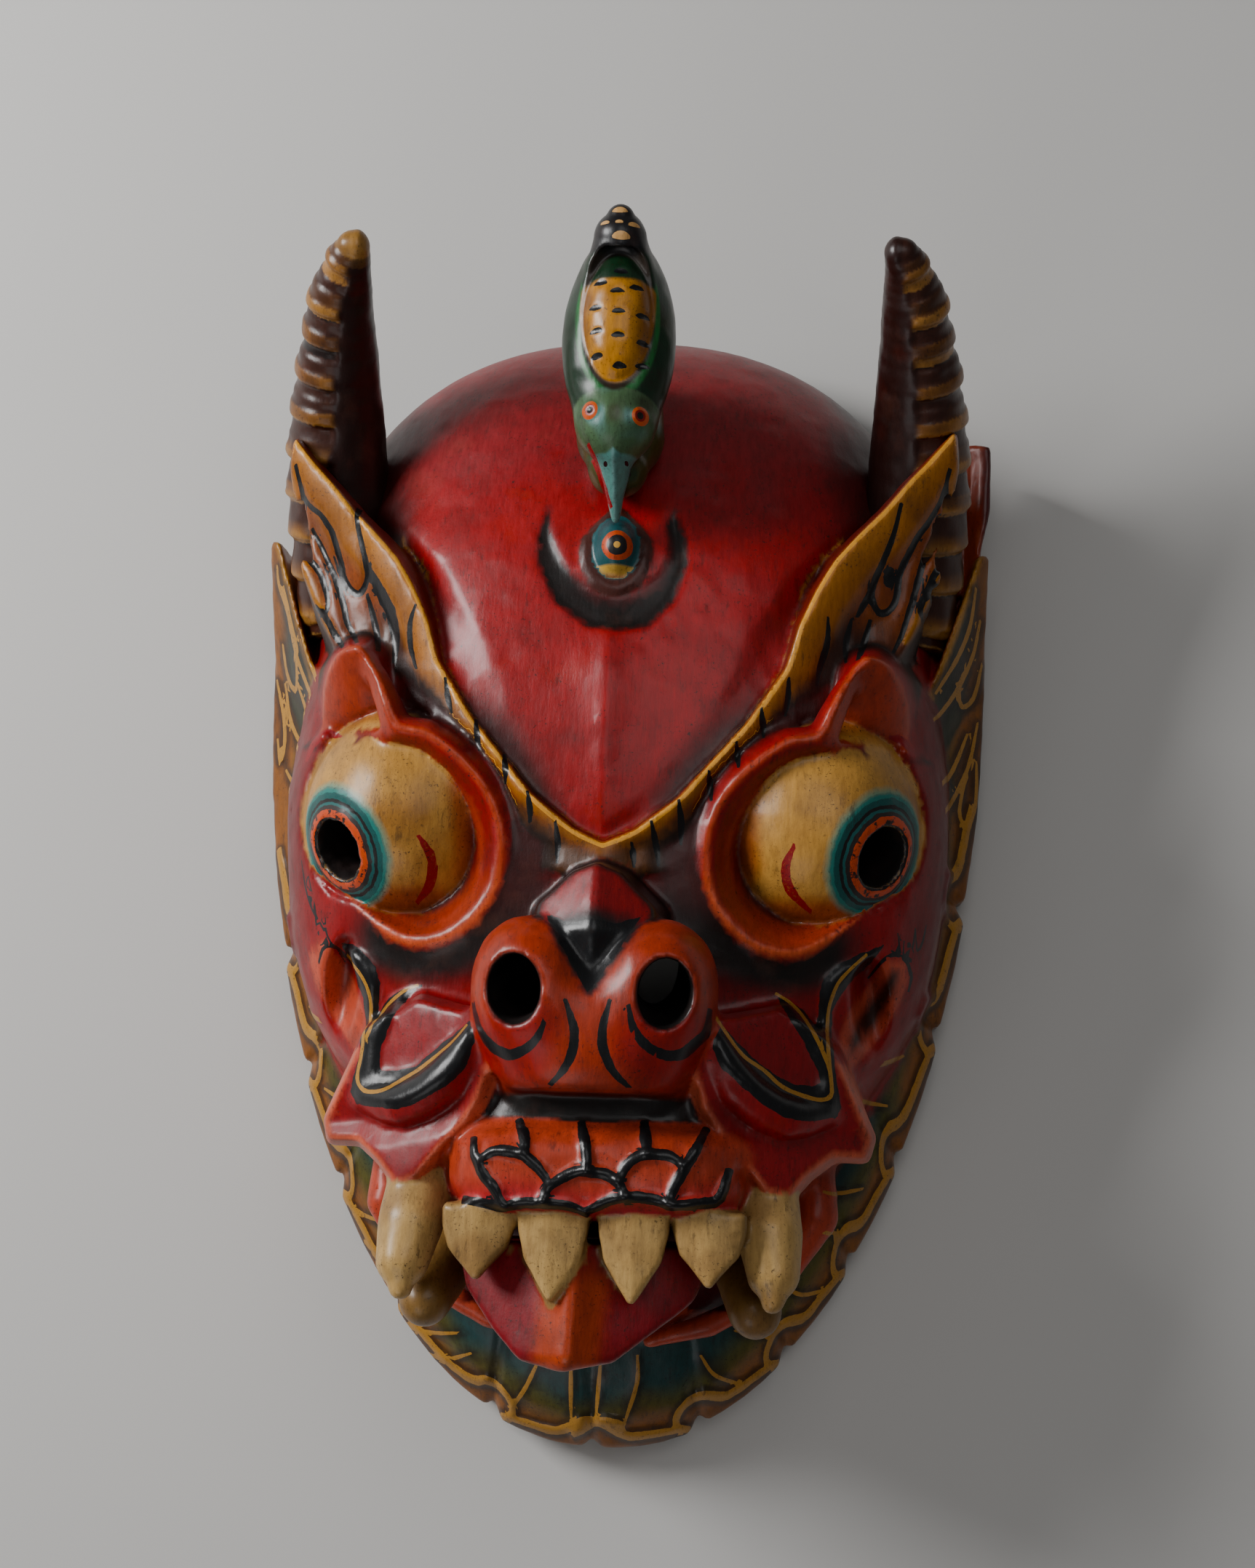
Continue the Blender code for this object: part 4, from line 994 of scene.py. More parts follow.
    # flares and the leaf pits on the cheeks
    lay(paintwork, owns["flare"], headPaint["flare"])
    flareEdge = outline(across, y, lips["flare"])
    # flare edges: salmon paint and a painted highlight
    lay(paintwork, owns["flare"] * ramp(flareEdge, -2.4, -0.2) * (y < -120), "#DE6E54")
    leaf = ramp(outline(across, y, lips["leaf"]), 0.8, -1.0) * owns["face"] * (z > 45)
    lay(paintwork, leaf, "#CE5A44")
    lay(paintwork, leaf * ramp(outline(across, y, lips["leaf"]), -2.5, -7) * (x > 0), "#3A1A12")

    # mouth
    lay(paintwork, owns["lowerLip"], "#C9533E")
    lay(paintwork, owns["gum"], headPaint["gum"])
    lay(paintwork, owns["gum"] * ramp(y + 3 * wander, -166, -182), "#BD3038")
    lay(paintwork, owns["tongue"], headPaint["tongue"])
    ridge = abs(x - tongueMiddle(y))
    lay(paintwork, owns["tongue"] * ramp(ridge, 17, 9) * ramp(y, -200, -214), "#BE4A2C")
    lay(paintwork, owns["tongue"] * ramp(z, 146, 140) * ramp(y, -238, -243), "#C25E48")
    for name in ("tooth", "fang", "lower"):
        lay(paintwork, owns[name], headPaint["tooth"] if name != "lower" else headPaint["lowerTooth"])
        lay(paintwork, owns[name] * ramp(wander, 0.0, 1.4) * 0.5, "#9A7040")
        # darker in the teeth's crevices: dirt and painted shade
        lay(paintwork, owns[name] * ramp(crevice, -0.4, -1.8) * 0.8, "#6B4A22")
    lay(paintwork, owns["tooth"] * ramp(z, 156, 150) * 0.7, "#7A5A30")
    # painted shade, dark red, deep in the mouth behind the teeth
    mouthDark = ramp(y, -180, -186) * ramp(across, 62, 56) * (z < 147) * (1 - owns["tongue"])
    lay(paintwork, mouthDark * (1 - owns["tooth"]) * (1 - owns["fang"]) * (1 - owns["lower"]) * (y > -226),
        "#4E0D12")

    # third eye
    fromDrop = np.hypot(x - third["centre"][0], y - third["centre"][1])
    moon = ramp(outline(x, y, third["moon"]), 1.2, -0.8) * (0.5 + 0.5 * ramp(fromDrop, 18, 25))
    lay(paintwork, moon * (z > 100), "#17110F")
    lay(paintwork, owns["dropRim"], "#4A2018")
    lay(paintwork, owns["drop"], "#26322F")

    # collar: teal near the face, olive, then gold-brown at the edge
    along, away = collarPlace(x, y)
    onCollar = owns["collar"] * (1 - owns["face"] * 0.5)
    lay(paintwork, onCollar, headPaint["collarInside"])
    lay(paintwork, onCollar * ramp(away + 3 * wander, -30, -18), headPaint["collarMiddle"])
    lay(paintwork, onCollar * ramp(away + 2 * wander, -19, -9), headPaint["collarEdge"])
    lay(paintwork, onCollar * ramp(away, -1.5, 0.5), "#6A3A14")
    lay(paintwork, owns["wing"], "#2E3520")
    lay(paintwork, owns["wing"] * ramp(away, -12, -5), headPaint["collarEdge"])
    wingTop = across - wingEdge(y)
    lay(paintwork, owns["wing"] * ramp(wingTop, 4.5, 2.5), "#C08A3A")
    lay(paintwork, owns["wing"] * ramp(wingTop, 1.5, -0.5), "#A32C35")
    lay(paintwork, owns["ear"], "#5A1A1C")
    lay(paintwork, owns["ear"] * ramp(abs(across - 156 + 15 * (x < 0)), 7, 3), "#9A3A20")

    # inside: bare wood behind, and painted shade, near-black, on the walls of the peep holes and nostrils
    inner = ramp(depth, -1.0, -2.6)
    lay(paintwork, np.maximum(inner, z < 0.6), headPaint["bareInside"])
    eyeBore = np.minimum(eyePlace(x, y, z, 1)[1], eyePlace(x, y, z, -1)[1])
    noseBore = np.hypot(across - 29, (y + 96) * 0.8)
    # the peep holes' and nostrils' walls: painted shade
    bored = ramp(eyeBore, 17, 14) * ramp(z, 60, 84) + ramp(noseBore, 15, 12) * ramp(z, 90, 120)
    lay(paintwork, bored * ramp(depth, -0.2, -1.2), "#120E0C")

    iris = np.where((owns["eyeball"] > 0.2) & (inner < 0.3), eyeBore, clear)
    thirdGap = np.where(owns["drop"] > 0.2, fromDrop, clear)
    ink = np.full(len(places), clear)
    for area, floor in zip(blackAreas, (80, 80, 150)):
        ink = np.where(z > floor, np.minimum(ink, outline(x, y, area)), ink)
    ink = np.where(inner > 0.3, clear, ink)
    outer = places.copy()
    outer[inner > 0.3] = -900
    inkSide, inkAway = paintedLines(outer, flameGrooves + browTicks + gumLines + lashes + nostrilShade
                                    + strokes(nose["strokes"], 1.9, 0.7, (150, 200)))
    redSide, redAway = paintedLines(outer, eyeArcs)
    giltSide, giltAway = paintedLines(outer, moustacheGilt + ribs)
    flat = np.stack([np.where(onCollar + owns["wing"] > 0.5, along, 900), -away, np.full(len(x), 50.0)],
                    axis=1)
    for side in (-1, 1):
        here = flat.copy()
        here[x * side < -12] = 900
        for path in scrollPaths(notchesOn(side)):
            offset, gapHere = paintedLines(here, strokes([path], collar["lineHalf"] * 0.85, 0.3, (0, 100)))
            nearer = gapHere < giltAway
            giltSide, giltAway = np.where(nearer, offset, giltSide), np.where(nearer, gapHere, giltAway)
    lay(paintwork, np.maximum(onCollar, owns["wing"]) * ramp(giltAway, 3.2, 1.2) * 0.75, "#1D150C")
    flameEdge = np.where((owns["brow"] > 0.05) & (gap < 8) & (inner < 0.3), np.sign(inside) * gap, clear)
    store(piece, {"paintwork": paintwork, "crevice": crevice, "hollowShade": hollowShade, "irisRadius": iris,
                  "thirdRadius": thirdGap, "thirdHeight": np.where(owns["drop"] > 0.2, y, clear),
                  "inkArea": ink, "inkSide": inkSide, "inkAway": inkAway, "redSide": redSide,
                  "redAway": redAway, "giltSide": giltSide, "giltAway": giltAway, "flameEdge": flameEdge,
                  "bareWood": np.maximum(inner, z < 0.6) * 1.0})


# Horns
horn = {"step": 1.0, "triangles": 60000,
        "route": [(110, 30, 36), (126, 82, 48), (130, 128, 68), (130, 160, 86), (128, 184, 106),
                  (124, 206, 130), (118, 219, 149)],
        "shares": [0.84, 0.98, 1.0, 0.90, 0.76, 0.57, 0.33], "length": 230.0, "thickness": 47.0,
        "ringStep": 2.8, "ring": 18.0, "leftLean": 3.0,
        "stain": "#2C120D", "ringStain": "#3D1D12", "ringOchre": "#8F5E2A", "ringEdge": "#B07F42"}


def hornCurve(lean):
    curve = smoothCurve(horn["route"], 5)
    shares = np.linspace(0, 1, len(curve))
    curve = [p - np.array([lean * share ** 2, 0, 0]) for p, share in zip(curve, shares)]
    length = sum(float(np.linalg.norm(b - a)) for a, b in zip(curve, curve[1:]))
    foot, stretch = curve[2], horn["length"] / length
    radii = np.interp(np.linspace(0, 6, len(curve)), range(7), horn["shares"])
    return [foot + (p - foot) * stretch for p in curve], radii * horn["thickness"] / 2


def hornPlace(x, y, z, lean):
    # distance to the plain horn, length along it, and how far the point lies to the outer side
    curve, radii = hornCurve(lean)
    best, station, offset, along = np.full(np.broadcast(x, y, z).shape, 1e3, np.float32), 0.0, 0.0, 0.0
    for a, b, ra, rb in zip(curve, curve[1:], radii, radii[1:]):
        axis = b - a
        length = float(np.linalg.norm(axis))
        dx, dy, dz = x - a[0], y - a[1], z - a[2]
        t = np.clip((dx * axis[0] + dy * axis[1] + dz * axis[2]) / length ** 2, 0, 1)
        away = np.sqrt((dx - t * axis[0]) ** 2 + (dy - t * axis[1]) ** 2 + (dz - t * axis[2]) ** 2)
        away = away - (ra + (rb - ra) * t)
        nearer = away < best
        best = np.where(nearer, away, best)
        station = np.where(nearer, along + t * length, station)
        offset = np.where(nearer, dx - t * axis[0], offset)
        along += length
    return best, station, offset


def hornForm(x, y, z, lean):
    best, station, offset = hornPlace(x, y, z, lean)
    turn = station / horn["ring"] % 1.0
    ringed = np.clip((offset + 3) / 2.5, 0, 1)
    lip = np.where(turn < 0.12, 1 - turn / 0.12, (turn - 0.12) / 0.88)
    return best + ringed * horn["ringStep"] * (lip - 0.35)


def buildHorn(name, side, headVolume):
    lean = horn["leftLean"] if side < 0 else 0.0
    curve, radii = hornCurve(lean)
    corners = [(side * p[0], p[1], p[2]) for p in curve[6:]]
    low = [min(values) - max(radii) - 3 for values in zip(*corners)]
    high = [max(values) + max(radii) + 3 for values in zip(*corners)]
    volume = newVolume(low, high, horn["step"])
    addWood(volume, low, high, lambda x, y, z: hornForm(x * side, y, z, lean))
    volume["wood"] += 0.25 * unevenness(volume["axes"], 7, 11)
    sinkInto(volume, headVolume)
    roundEdges(volume)
    piece = meshFrom(name, volume, horn["triangles"])
    places = cornersOf(piece)
    x, y, z = places.T
    station, offset = hornPlace(x * side, y, z, lean)[1:]
    turn = station / horn["ring"] % 1.0
    wander = sample(volume, unevenness(volume["axes"], 9, 12), places)
    ringed = ramp(offset + wander, -3, 0)
    paintwork = np.tile(colour(horn["stain"]), (len(places), 1))
    lay(paintwork, ramp(wander, 0.2, 1.4) * 0.5, "#47190F")
    lay(paintwork, ringed, horn["ringStain"])
    # ring lips paler: rubbed wear and a painted highlight
    lay(paintwork, ringed * ramp(turn + 0.08 * wander, 0.60, 0.12) * 0.95, horn["ringOchre"])
    lay(paintwork, ringed * ramp(turn + 0.05 * wander, 0.30, 0.14) * 0.7, horn["ringEdge"])
    lay(paintwork, ramp(station + 3 * wander, 222, 236) * (side < 0), "#B98A4A")
    # painted shadow line under each ring's overhanging lip
    lay(paintwork, ringed * (turn > 0.965), "#1C0D0A")
    crevice = sample(volume, meanAround(volume, 2.5), places)
    store(piece, {"paintwork": paintwork, "crevice": crevice, "hollowShade": crevice * 0,
                  **farLayers(len(places))})
    return piece


def sinkInto(volume, headVolume):
    # leaves out what would lie deeper than two millimetres in the head
    x, y, z = np.meshgrid(*volume["axes"], indexing="ij")
    places = np.stack([x.ravel(), y.ravel(), z.ravel()], axis=1).astype(float)
    carved = sample(headVolume, headVolume["solid"], places).reshape(volume["wood"].shape)
    outside = (places[:, 2] < 4).reshape(carved.shape)
    volume["wood"] = np.where(outside, 60, np.maximum(volume["wood"], -carved - 2.0)).astype(np.float32)


# Bird crest
bird = {"step": 0.8, "triangles": 120000, "beakTip": (0, 106, 128),
        "marks": [(-7, 197), (-9, 186), (-8, 176), (-8, 166), (1, 202), (0, 193), (1, 184), (1, 174),
                  (2, 162), (8, 195), (11, 183), (11, 172), (11, 163)],
        "cream": [(0, 227, 3.6), (0, 222, 2.2), (-6, 222, 2.4), (6, 221, 2.8), (1, 215, 4.4)],
        "wings": "#0D3019", "headGreen": "#4C6A48", "beakBlue": "#5C9A92", "backOchre": "#C8861C",
        "eyes": [(-10, 144), (11, 142)], "nostrils": [(-3.4, 124), (5.4, 124.5)]}
birdLines = strokes([[(-10, 130), (-7.5, 125), (-6, 121), (-2, 111)]], 0.95, 0.4, (110, 170))


def birdPart(x, y, z, part):
    x, y, z = x, y - bird["beakTip"][1], z - bird["beakTip"][2]
    if part == "body":
        return ellipsoid(x, y, z, (0, 72, 18), (24, 45, 18))
    if part == "back":
        return ellipsoid(x, y, z, (0, 78, 30), (14, 28, 11))
    if part == "groove":
        return ellipsoid(x, y, z, (0, 78, 37), (17, 31, 9))
    if part == "head":
        return ellipsoid(x, y, z, (0, 36, 21), (17, 17, 16))
    if part == "beak":
        keel = 1.4 * np.clip(1 - abs(x) / 3, 0, 1)
        return cone(x, y, z, (0, 26, 20), (0, 1, 1), 9, 1.5) - keel
    if part == "tail":
        return sweep(x, y, z, [(0, 84, 20), (0, 100, 27), (0, 113, 32.5), (0, 120, 36)],
                     [18, 15, 11, 6])
    return sweep(x, y, z, [(0, 24, -4), (0, 40, -12), (0, 62, -18)], [13, 19, 17])


def birdForm(x, y, z):
    body = softMin(birdPart(x, y, z, "body"), birdPart(x, y, z, "tail"), 6)
    body = softMin(body, softMin(birdPart(x, y, z, "head"), birdPart(x, y, z, "breast"), 8), 6)
    body = -softMin(-body, birdPart(x, y, z, "groove"), 2)
    return softMin(softMin(body, birdPart(x, y, z, "back"), 2), birdPart(x, y, z, "beak"), 3)


def scallop(x, y, spot, half):
    # a small half-moon mark, flat side down
    dx, dy = x - spot[0], y - spot[1]
    return np.maximum(np.hypot(dx, (dy + 1) * 1.1) - half, -(dy + 0.6 - 0.06 * dx ** 2))


def buildBird(headVolume):
    tip = bird["beakTip"]
    low, high = (-30, tip[1] - 12, tip[2] - 36), (30, tip[1] + 132, tip[2] + 48)
    volume = newVolume(low, high, bird["step"])
    addWood(volume, low, high, birdForm)
    wood, x, y, z = window(volume, low, high)
    for spot in bird["marks"]:
        wood += 0.8 * ramp(scallop(x, y, spot, 3.3), 0.4, -1.2) * (z > 150)
    for spot in bird["eyes"]:
        wood -= 0.9 * ramp(np.hypot(x - spot[0], y - spot[1]), 4, 2.6) * (z > 140)
        wood += 1.2 * ramp(np.hypot(x - spot[0], y - spot[1]), 1.4, 0.5) * (z > 140)
    volume["wood"] += 0.12 * unevenness(volume["axes"], 5, 21)
    sinkInto(volume, headVolume)
    roundEdges(volume)
    piece = meshFrom("birdCrest", volume, bird["triangles"])
    places = cornersOf(piece)
    x, y, z = places.T
    parts = {name: birdPart(x, y, z, name) for name in ("body", "back", "head", "beak", "tail", "breast")}
    parts["beak"] = parts["beak"] - 0.6
    parts["back"] = parts["back"] - 0.5
    nearest = np.minimum.reduce(list(parts.values()))
    owns = {name: ramp(part - nearest, 1.2, 0.2) for name, part in parts.items()}
    wander = sample(volume, unevenness(volume["axes"], 6, 22), places)
    groove = ramp(abs(birdPart(x, y, z, "groove")), 1.6, 0.6) * (1 - owns["back"]) * (z > 146) * (y < 214)
    paintwork = np.tile(colour(bird["wings"]), (len(places), 1))
    lay(paintwork, ramp(abs(birdPart(x, y, z, "groove") - 2.2), 1.7, 0.8) * (z > 146) * owns["body"],
        "#1D6E34")
    lay(paintwork, owns["breast"], "#4A4A20")
    lay(paintwork, owns["breast"] * ramp(wander, 0, 1), "#2E4A2A")
    lay(paintwork, owns["head"], bird["headGreen"])
    lay(paintwork, owns["head"] * ramp(wander + (z - 158) * 0.1, 0.2, 1.6), "#5E8E86")
    lay(paintwork, owns["head"] * ramp(wander, -0.3, -1.4) * 0.7, "#3A3F22")
    lay(paintwork, owns["beak"], bird["beakBlue"])
    lay(paintwork, owns["beak"] * ramp(abs(x), 1.2, 0.2) * 0.7, "#8CC4C0")
    lay(paintwork, groove, "#2A2118")
    lay(paintwork, owns["back"], bird["backOchre"])
    lay(paintwork, owns["back"] * ramp(abs(x + 1) + wander, 8, 13), "#8E5A22")
    lay(paintwork, ramp(y, 209, 213), "#17171A")
    red = ramp(sample(headVolume, headVolume["solid"], places) + wander, 3.0, 1.4)
    lay(paintwork, red, "#A8171C")
    crevice = sample(volume, meanAround(volume, 2.0), places)
    ink = np.full(len(places), clear)
    for spot in bird["marks"]:
        ink = np.minimum(ink, np.where(z > 150, scallop(x, y, spot, 3.2), clear))
    for spot in bird["nostrils"]:
        ink = np.minimum(ink, np.where(z > 130, np.hypot(x - spot[0], y - spot[1]) - 0.8, clear))
    cream = np.full(len(places), clear)
    for sx, sy, half in bird["cream"]:
        cream = np.minimum(cream, np.where(z > 150, scallop(x, y, (sx, sy), half), clear))
    ring = np.full(len(places), clear)
    for spot in bird["eyes"]:
        ring = np.minimum(ring, np.where(z > 140, np.hypot(x - spot[0], (y - spot[1]) * 0.85), clear))
    redSide, redAway = paintedLines(places, birdLines)
    store(piece, {"paintwork": paintwork, "crevice": crevice, "hollowShade": crevice * 0,
                  **farLayers(len(places)), "inkArea": ink, "redSide": redSide, "redAway": redAway,
                  "creamArea": cream, "birdEye": ring})
    return piece


# Materials
def addNode(tree, kind, inputs=None, **settings):
    made = tree.nodes.new(kind)
    for name, value in settings.items():
        setattr(made, name, value)
    for name, value in (inputs or {}).items():
        socket = made.inputs[name]
        if isinstance(value, bpy.types.NodeSocket):
            tree.links.new(value, socket)
        else:
            socket.default_value = value
    return made


def perMillimetre(size):
    return 1000.0 / size        # texture scale for features of this size in millimetres


def rgba(code):
    return (*colour(code), 1.0)


finish = {"shadeAndGrime": "#1A100C", "ink": "#131416", "gilt": "#B4823A", "lineRed": "#8E1018", "rubbed": "#D9907A",
          "wornThrough": "#2E0F0D", "speck": "#20130F", "coatRoughness": 0.28, "ior": 1.46, "specular": 0.26,
          "saturation": 1.05, "brightness": 0.90, "bump": 0.35, "bumpDepth": 0.0006}


def paintedWood(name, details):
    # oil paint brushed on carved wood under a satin varnish:
    # it gives broad soft highlights, fine brush marks, and dirt with painted shade in the cuts
    material = bpy.data.materials.new(name)
    material.use_nodes = True
    tree = material.node_tree
    shader = tree.nodes["Principled BSDF"]
    place = addNode(tree, "ShaderNodeTexCoord").outputs["Object"]

    def layer(attribute):
        return addNode(tree, "ShaderNodeAttribute", attribute_name=attribute).outputs["Fac"]

    def maths(operation, a, b=0.0):
        return addNode(tree, "ShaderNodeMath", {0: a, 1: b}, operation=operation).outputs[0]

    def blend(share, under, over, mode="MIX"):
        return addNode(tree, "ShaderNodeMix", {0: share, 6: under, 7: over}, data_type="RGBA",
                       blend_type=mode).outputs[2]

    def noise(size, detail=4.0, roughness=0.6, where=None):
        return addNode(tree, "ShaderNodeTexNoise", {"Vector": where or place, "Scale": perMillimetre(size),
                                                    "Detail": detail, "Roughness": roughness}).outputs["Fac"]

    def between(value, low, high, start=0.0, end=1.0):
        return addNode(tree, "ShaderNodeMapRange", {0: value, 1: low, 2: high, 3: start, 4: end},
                       clamp=True).outputs[0]

    streaks = addNode(tree, "ShaderNodeMapping", {"Vector": place, "Scale": (1.0, 0.22, 0.5)}).outputs[0]
    brush = noise(2.2, 5.0, 0.65, streaks)          # brush marks about 2 mm wide
    mottle = noise(26.0, 5.0, 0.6)                  # patches of thinner and thicker paint
    fleck = noise(1.3, 3.0, 0.7)                    # specks of dirt in the varnish
    wobble = between(noise(5.0, 2.0), 0.3, 0.7, -0.35, 0.35)
    crevice = layer("crevice")

    base = addNode(tree, "ShaderNodeAttribute", attribute_name="paintwork").outputs["Color"]
    base = blend(0.55, base, blend(between(brush, 0.25, 0.75), rgba("#9C9088"), rgba("#FFFFFF")), "MULTIPLY")
    base = blend(between(mottle, 0.50, 0.74, 0.0, 0.38), base, rgba(finish["wornThrough"]))
    base = blend(between(mottle, 0.44, 0.28, 0.0, 0.05), base, rgba(finish["rubbed"]))

    if "iris" in details:
        fromEdge = maths("ABSOLUTE", maths("SUBTRACT", layer("flameEdge"), 0.9))
        gold = maths("MULTIPLY", maths("LESS_THAN", fromEdge, 0.9), 0.8)
        base = blend(gold, base, rgba("#E6A446"))
        radius = maths("ADD", layer("irisRadius"), wobble)
        rings = addNode(tree, "ShaderNodeValToRGB", {0: maths("DIVIDE", radius, 32.0)})
        paintRings(rings.color_ramp, [(0.0, "#0E0C0B"), (14.6, "#C9502F"), (17.8, "#2B2320"),
                                      (19.4, "#1D5A58"), (20.6, "#171514"), (22.0, "#16524F"),
                                      (24.2, "#23756C"), (26.0, "#3F8F80")], 32.0)
        onIris = between(radius, 28.4, 25.2)
        base = blend(onIris, base, rings.outputs[0])
        chipped = maths("MULTIPLY", between(radius, 19.0, 17.5), between(noise(3.5, 3.0), 0.56, 0.62))
        base = blend(chipped, base, rgba("#241814"))
        flatPlace = addNode(tree, "ShaderNodeVectorMath", {0: place, 1: (1.0, 1.0, 0.0)},
                            operation="MULTIPLY").outputs[0]
        middle = toFrame(np.array([*third["centre"], 0.0]))
        radius = addNode(tree, "ShaderNodeVectorMath", {0: flatPlace, 1: tuple(middle)},
                         operation="DISTANCE").outputs["Value"]
        radius = maths("ADD", maths("MULTIPLY", radius, 1000.0), maths("MULTIPLY", wobble, 0.6))
        height = layer("thirdHeight")
        onDrop = maths("LESS_THAN", layer("thirdRadius"), 50.0)
        base = blend(maths("MULTIPLY", onDrop, between(height, 82.0, 86.0)), base, rgba("#1B4E52"))
        glow = maths("MULTIPLY", maths("MULTIPLY", onDrop, between(height, 87.5, 86.5)),
                     between(radius, 14.0, 11.0))
        base = blend(glow, base, blend(between(height, 84.5, 80.0), rgba("#C9A04A"), rgba("#B8402A")))
        rings = addNode(tree, "ShaderNodeValToRGB", {0: maths("DIVIDE", radius, 12.0)})
        paintRings(rings.color_ramp, [(0.0, "#D9A24A"), (1.4, "#17181A"), (4.3, "#C4502F")], 12.0)
        base = blend(maths("MULTIPLY", onDrop, maths("LESS_THAN", radius, 6.5)), base, rings.outputs[0])
    if "bird" in details:
        base = blend(maths("LESS_THAN", layer("creamArea"), 0.0), base, rgba("#D2A268"))
        rings = addNode(tree, "ShaderNodeValToRGB", {0: maths("DIVIDE", layer("birdEye"), 6.0)})
        paintRings(rings.color_ramp, [(0.0, "#1A100E"), (1.3, "#8E1A14"), (2.1, "#C95A30")], 6.0)
        base = blend(maths("LESS_THAN", layer("birdEye"), 3.4), base, rings.outputs[0])

    # painted areas and lines with crisp edges
    inked = maths("LESS_THAN", maths("ADD", layer("inkArea"), wobble), 0.0)
    for side, away, code in (("redSide", "redAway", finish["lineRed"]), ("inkSide", "inkAway", None),
                             ("giltSide", "giltAway", finish["gilt"])):
        across = maths("ADD", maths("ABSOLUTE", layer(side)), maths("MULTIPLY", wobble, 0.35))
        line = maths("MULTIPLY", maths("LESS_THAN", across, 1.0), maths("LESS_THAN", layer(away), 0.9))
        if code is None:
            inked = maths("MAXIMUM", inked, line)
            base = blend(inked, base, rgba(finish["ink"]))
        else:
            worn = maths("MULTIPLY", line, between(fleck, 0.30, 0.42, 0.55, 1.0))
            base = blend(worn, base, rgba(code))

    # dirt and painted shade in crevices, broader painted shade in hollows, specks all over, rubbed paint and
    # a painted highlight on ridges
    # darker in crevices: dirt and painted shade
    deep = between(crevice, -0.4, -2.3)
    deep = maths("MULTIPLY", deep, between(mottle, 0.2, 0.7, 0.6, 1.0))
    base = blend(maths("MULTIPLY", deep, 0.78), base, rgba(finish["shadeAndGrime"]))
    # darker still in broad hollows: painted shade
    base = blend(maths("MULTIPLY", between(layer("hollowShade"), -0.8, -5.0), 0.52), base, rgba(finish["shadeAndGrime"]))
    specks = maths("MULTIPLY", between(fleck, 0.58, 0.68), between(noise(14.0, 3.0), 0.40, 0.60, 0.10, 0.85))
    scratches = between(noise(1.9, 4.0, 0.75, streaks), 0.53, 0.63)
    scratches = maths("MULTIPLY", scratches, between(noise(18.0, 4.0, 0.7), 0.47, 0.62, 0.0, 0.5))
    base = blend(maths("MAXIMUM", specks, scratches), base, rgba(finish["speck"]))
    # ridges lighter: rubbed paint and a painted highlight
    ridge = maths("MULTIPLY", between(crevice, 0.75, 2.2), between(noise(3.0, 4.0), 0.40, 0.62))
    base = blend(maths("MULTIPLY", ridge, maths("SUBTRACT", 0.5, maths("MULTIPLY", inked, 0.3))), base,
                 rgba(details.get("ridge", "#E0A07A")))
    aged = addNode(tree, "ShaderNodeHueSaturation", {"Color": base, "Saturation": finish["saturation"],
                                                     "Value": finish["brightness"]})
    tree.links.new(aged.outputs[0], shader.inputs["Base Color"])

    rough = maths("ADD", between(brush, 0.2, 0.8, -0.05, 0.08), between(mottle, 0.3, 0.7, -0.05, 0.10))
    rough = maths("ADD", rough, details["roughness"])
    rough = maths("ADD", rough, maths("MULTIPLY", deep, 0.18))
    rough = maths("SUBTRACT", rough, maths("MULTIPLY", inked, 0.12))
    tree.links.new(maths("ADD", rough, maths("MULTIPLY", layer("bareWood"), 0.3)), shader.inputs["Roughness"])
    shader.inputs["Coat Weight"].default_value = details["coat"]
    shader.inputs["Coat Roughness"].default_value = finish["coatRoughness"]
    shader.inputs["IOR"].default_value = finish["ior"]
    shader.inputs["Specular IOR Level"].default_value = finish["specular"]
    surface = maths("ADD", maths("MULTIPLY", brush, 0.9), maths("MULTIPLY", fleck, 0.25))
    surface = maths("ADD", surface, maths("MULTIPLY", noise(9.0, 3.0), 0.8))
    bump = addNode(tree, "ShaderNodeBump", {"Height": surface, "Strength": finish["bump"],
                                            "Distance": finish["bumpDepth"]})
    tree.links.new(bump.outputs[0], shader.inputs["Normal"])
    return material


def paintRings(bands, stops, span):
    # flat bands of colour outwards from the middle, each from its own radius
    bands.interpolation = "CONSTANT"
    for index, (start, code) in enumerate(stops):
        stop = bands.elements[index] if index < 2 else bands.elements.new(start / span)
        stop.position = start / span
        stop.color = rgba(code)


# Build
print("carving the head")
headVolume = newVolume((-174, head["chin"] - 6, -5.2), (174, head["domeTop"] + 6, head["noseTop"] + 8),
                       head["step"])
carveHead(headVolume)
reliefHead(headVolume)
headVolume["wood"] += head["waviness"] * unevenness(headVolume["axes"], 13, 1) * 0.5
headVolume["wood"] += head["chisel"] * unevenness(headVolume["axes"], 4.5, 2) * 0.6
cutWood(headVolume, (-180, -300, -9), (180, 245, 6), lambda x, y, z: z, 0.1)
headVolume["solid"] = headVolume["wood"].copy()
cutWood(headVolume, (-170, -300, -9), (170, 240, 130), hollowForm, 3)
cutWood(headVolume, (-60, -190, -9), (60, -20, 170), muzzleForm, 8)
cutWood(headVolume, (-150, -80, -9), (150, 60, 130), socketForm, 8)
for side in (1, -1):
    low, high = sorted((side * 30, side * 170))
    cutWood(headVolume, (low, -80, 40), (high, 30, 170), lambda x, y, z: pupilBore(x, y, z, side), 0.8)
cutWood(headVolume, (-60, -125, 85), (60, -50, 220), nostrilBore, 2.5)
roundEdges(headVolume)
print("meshing the head")
mask = meshFrom("carvedHead", headVolume, head["triangles"])
print("painting the head")
paintHead(mask, headVolume)
print("horns and bird")
hornLeft = buildHorn("ringedHornLeft", -1, headVolume)
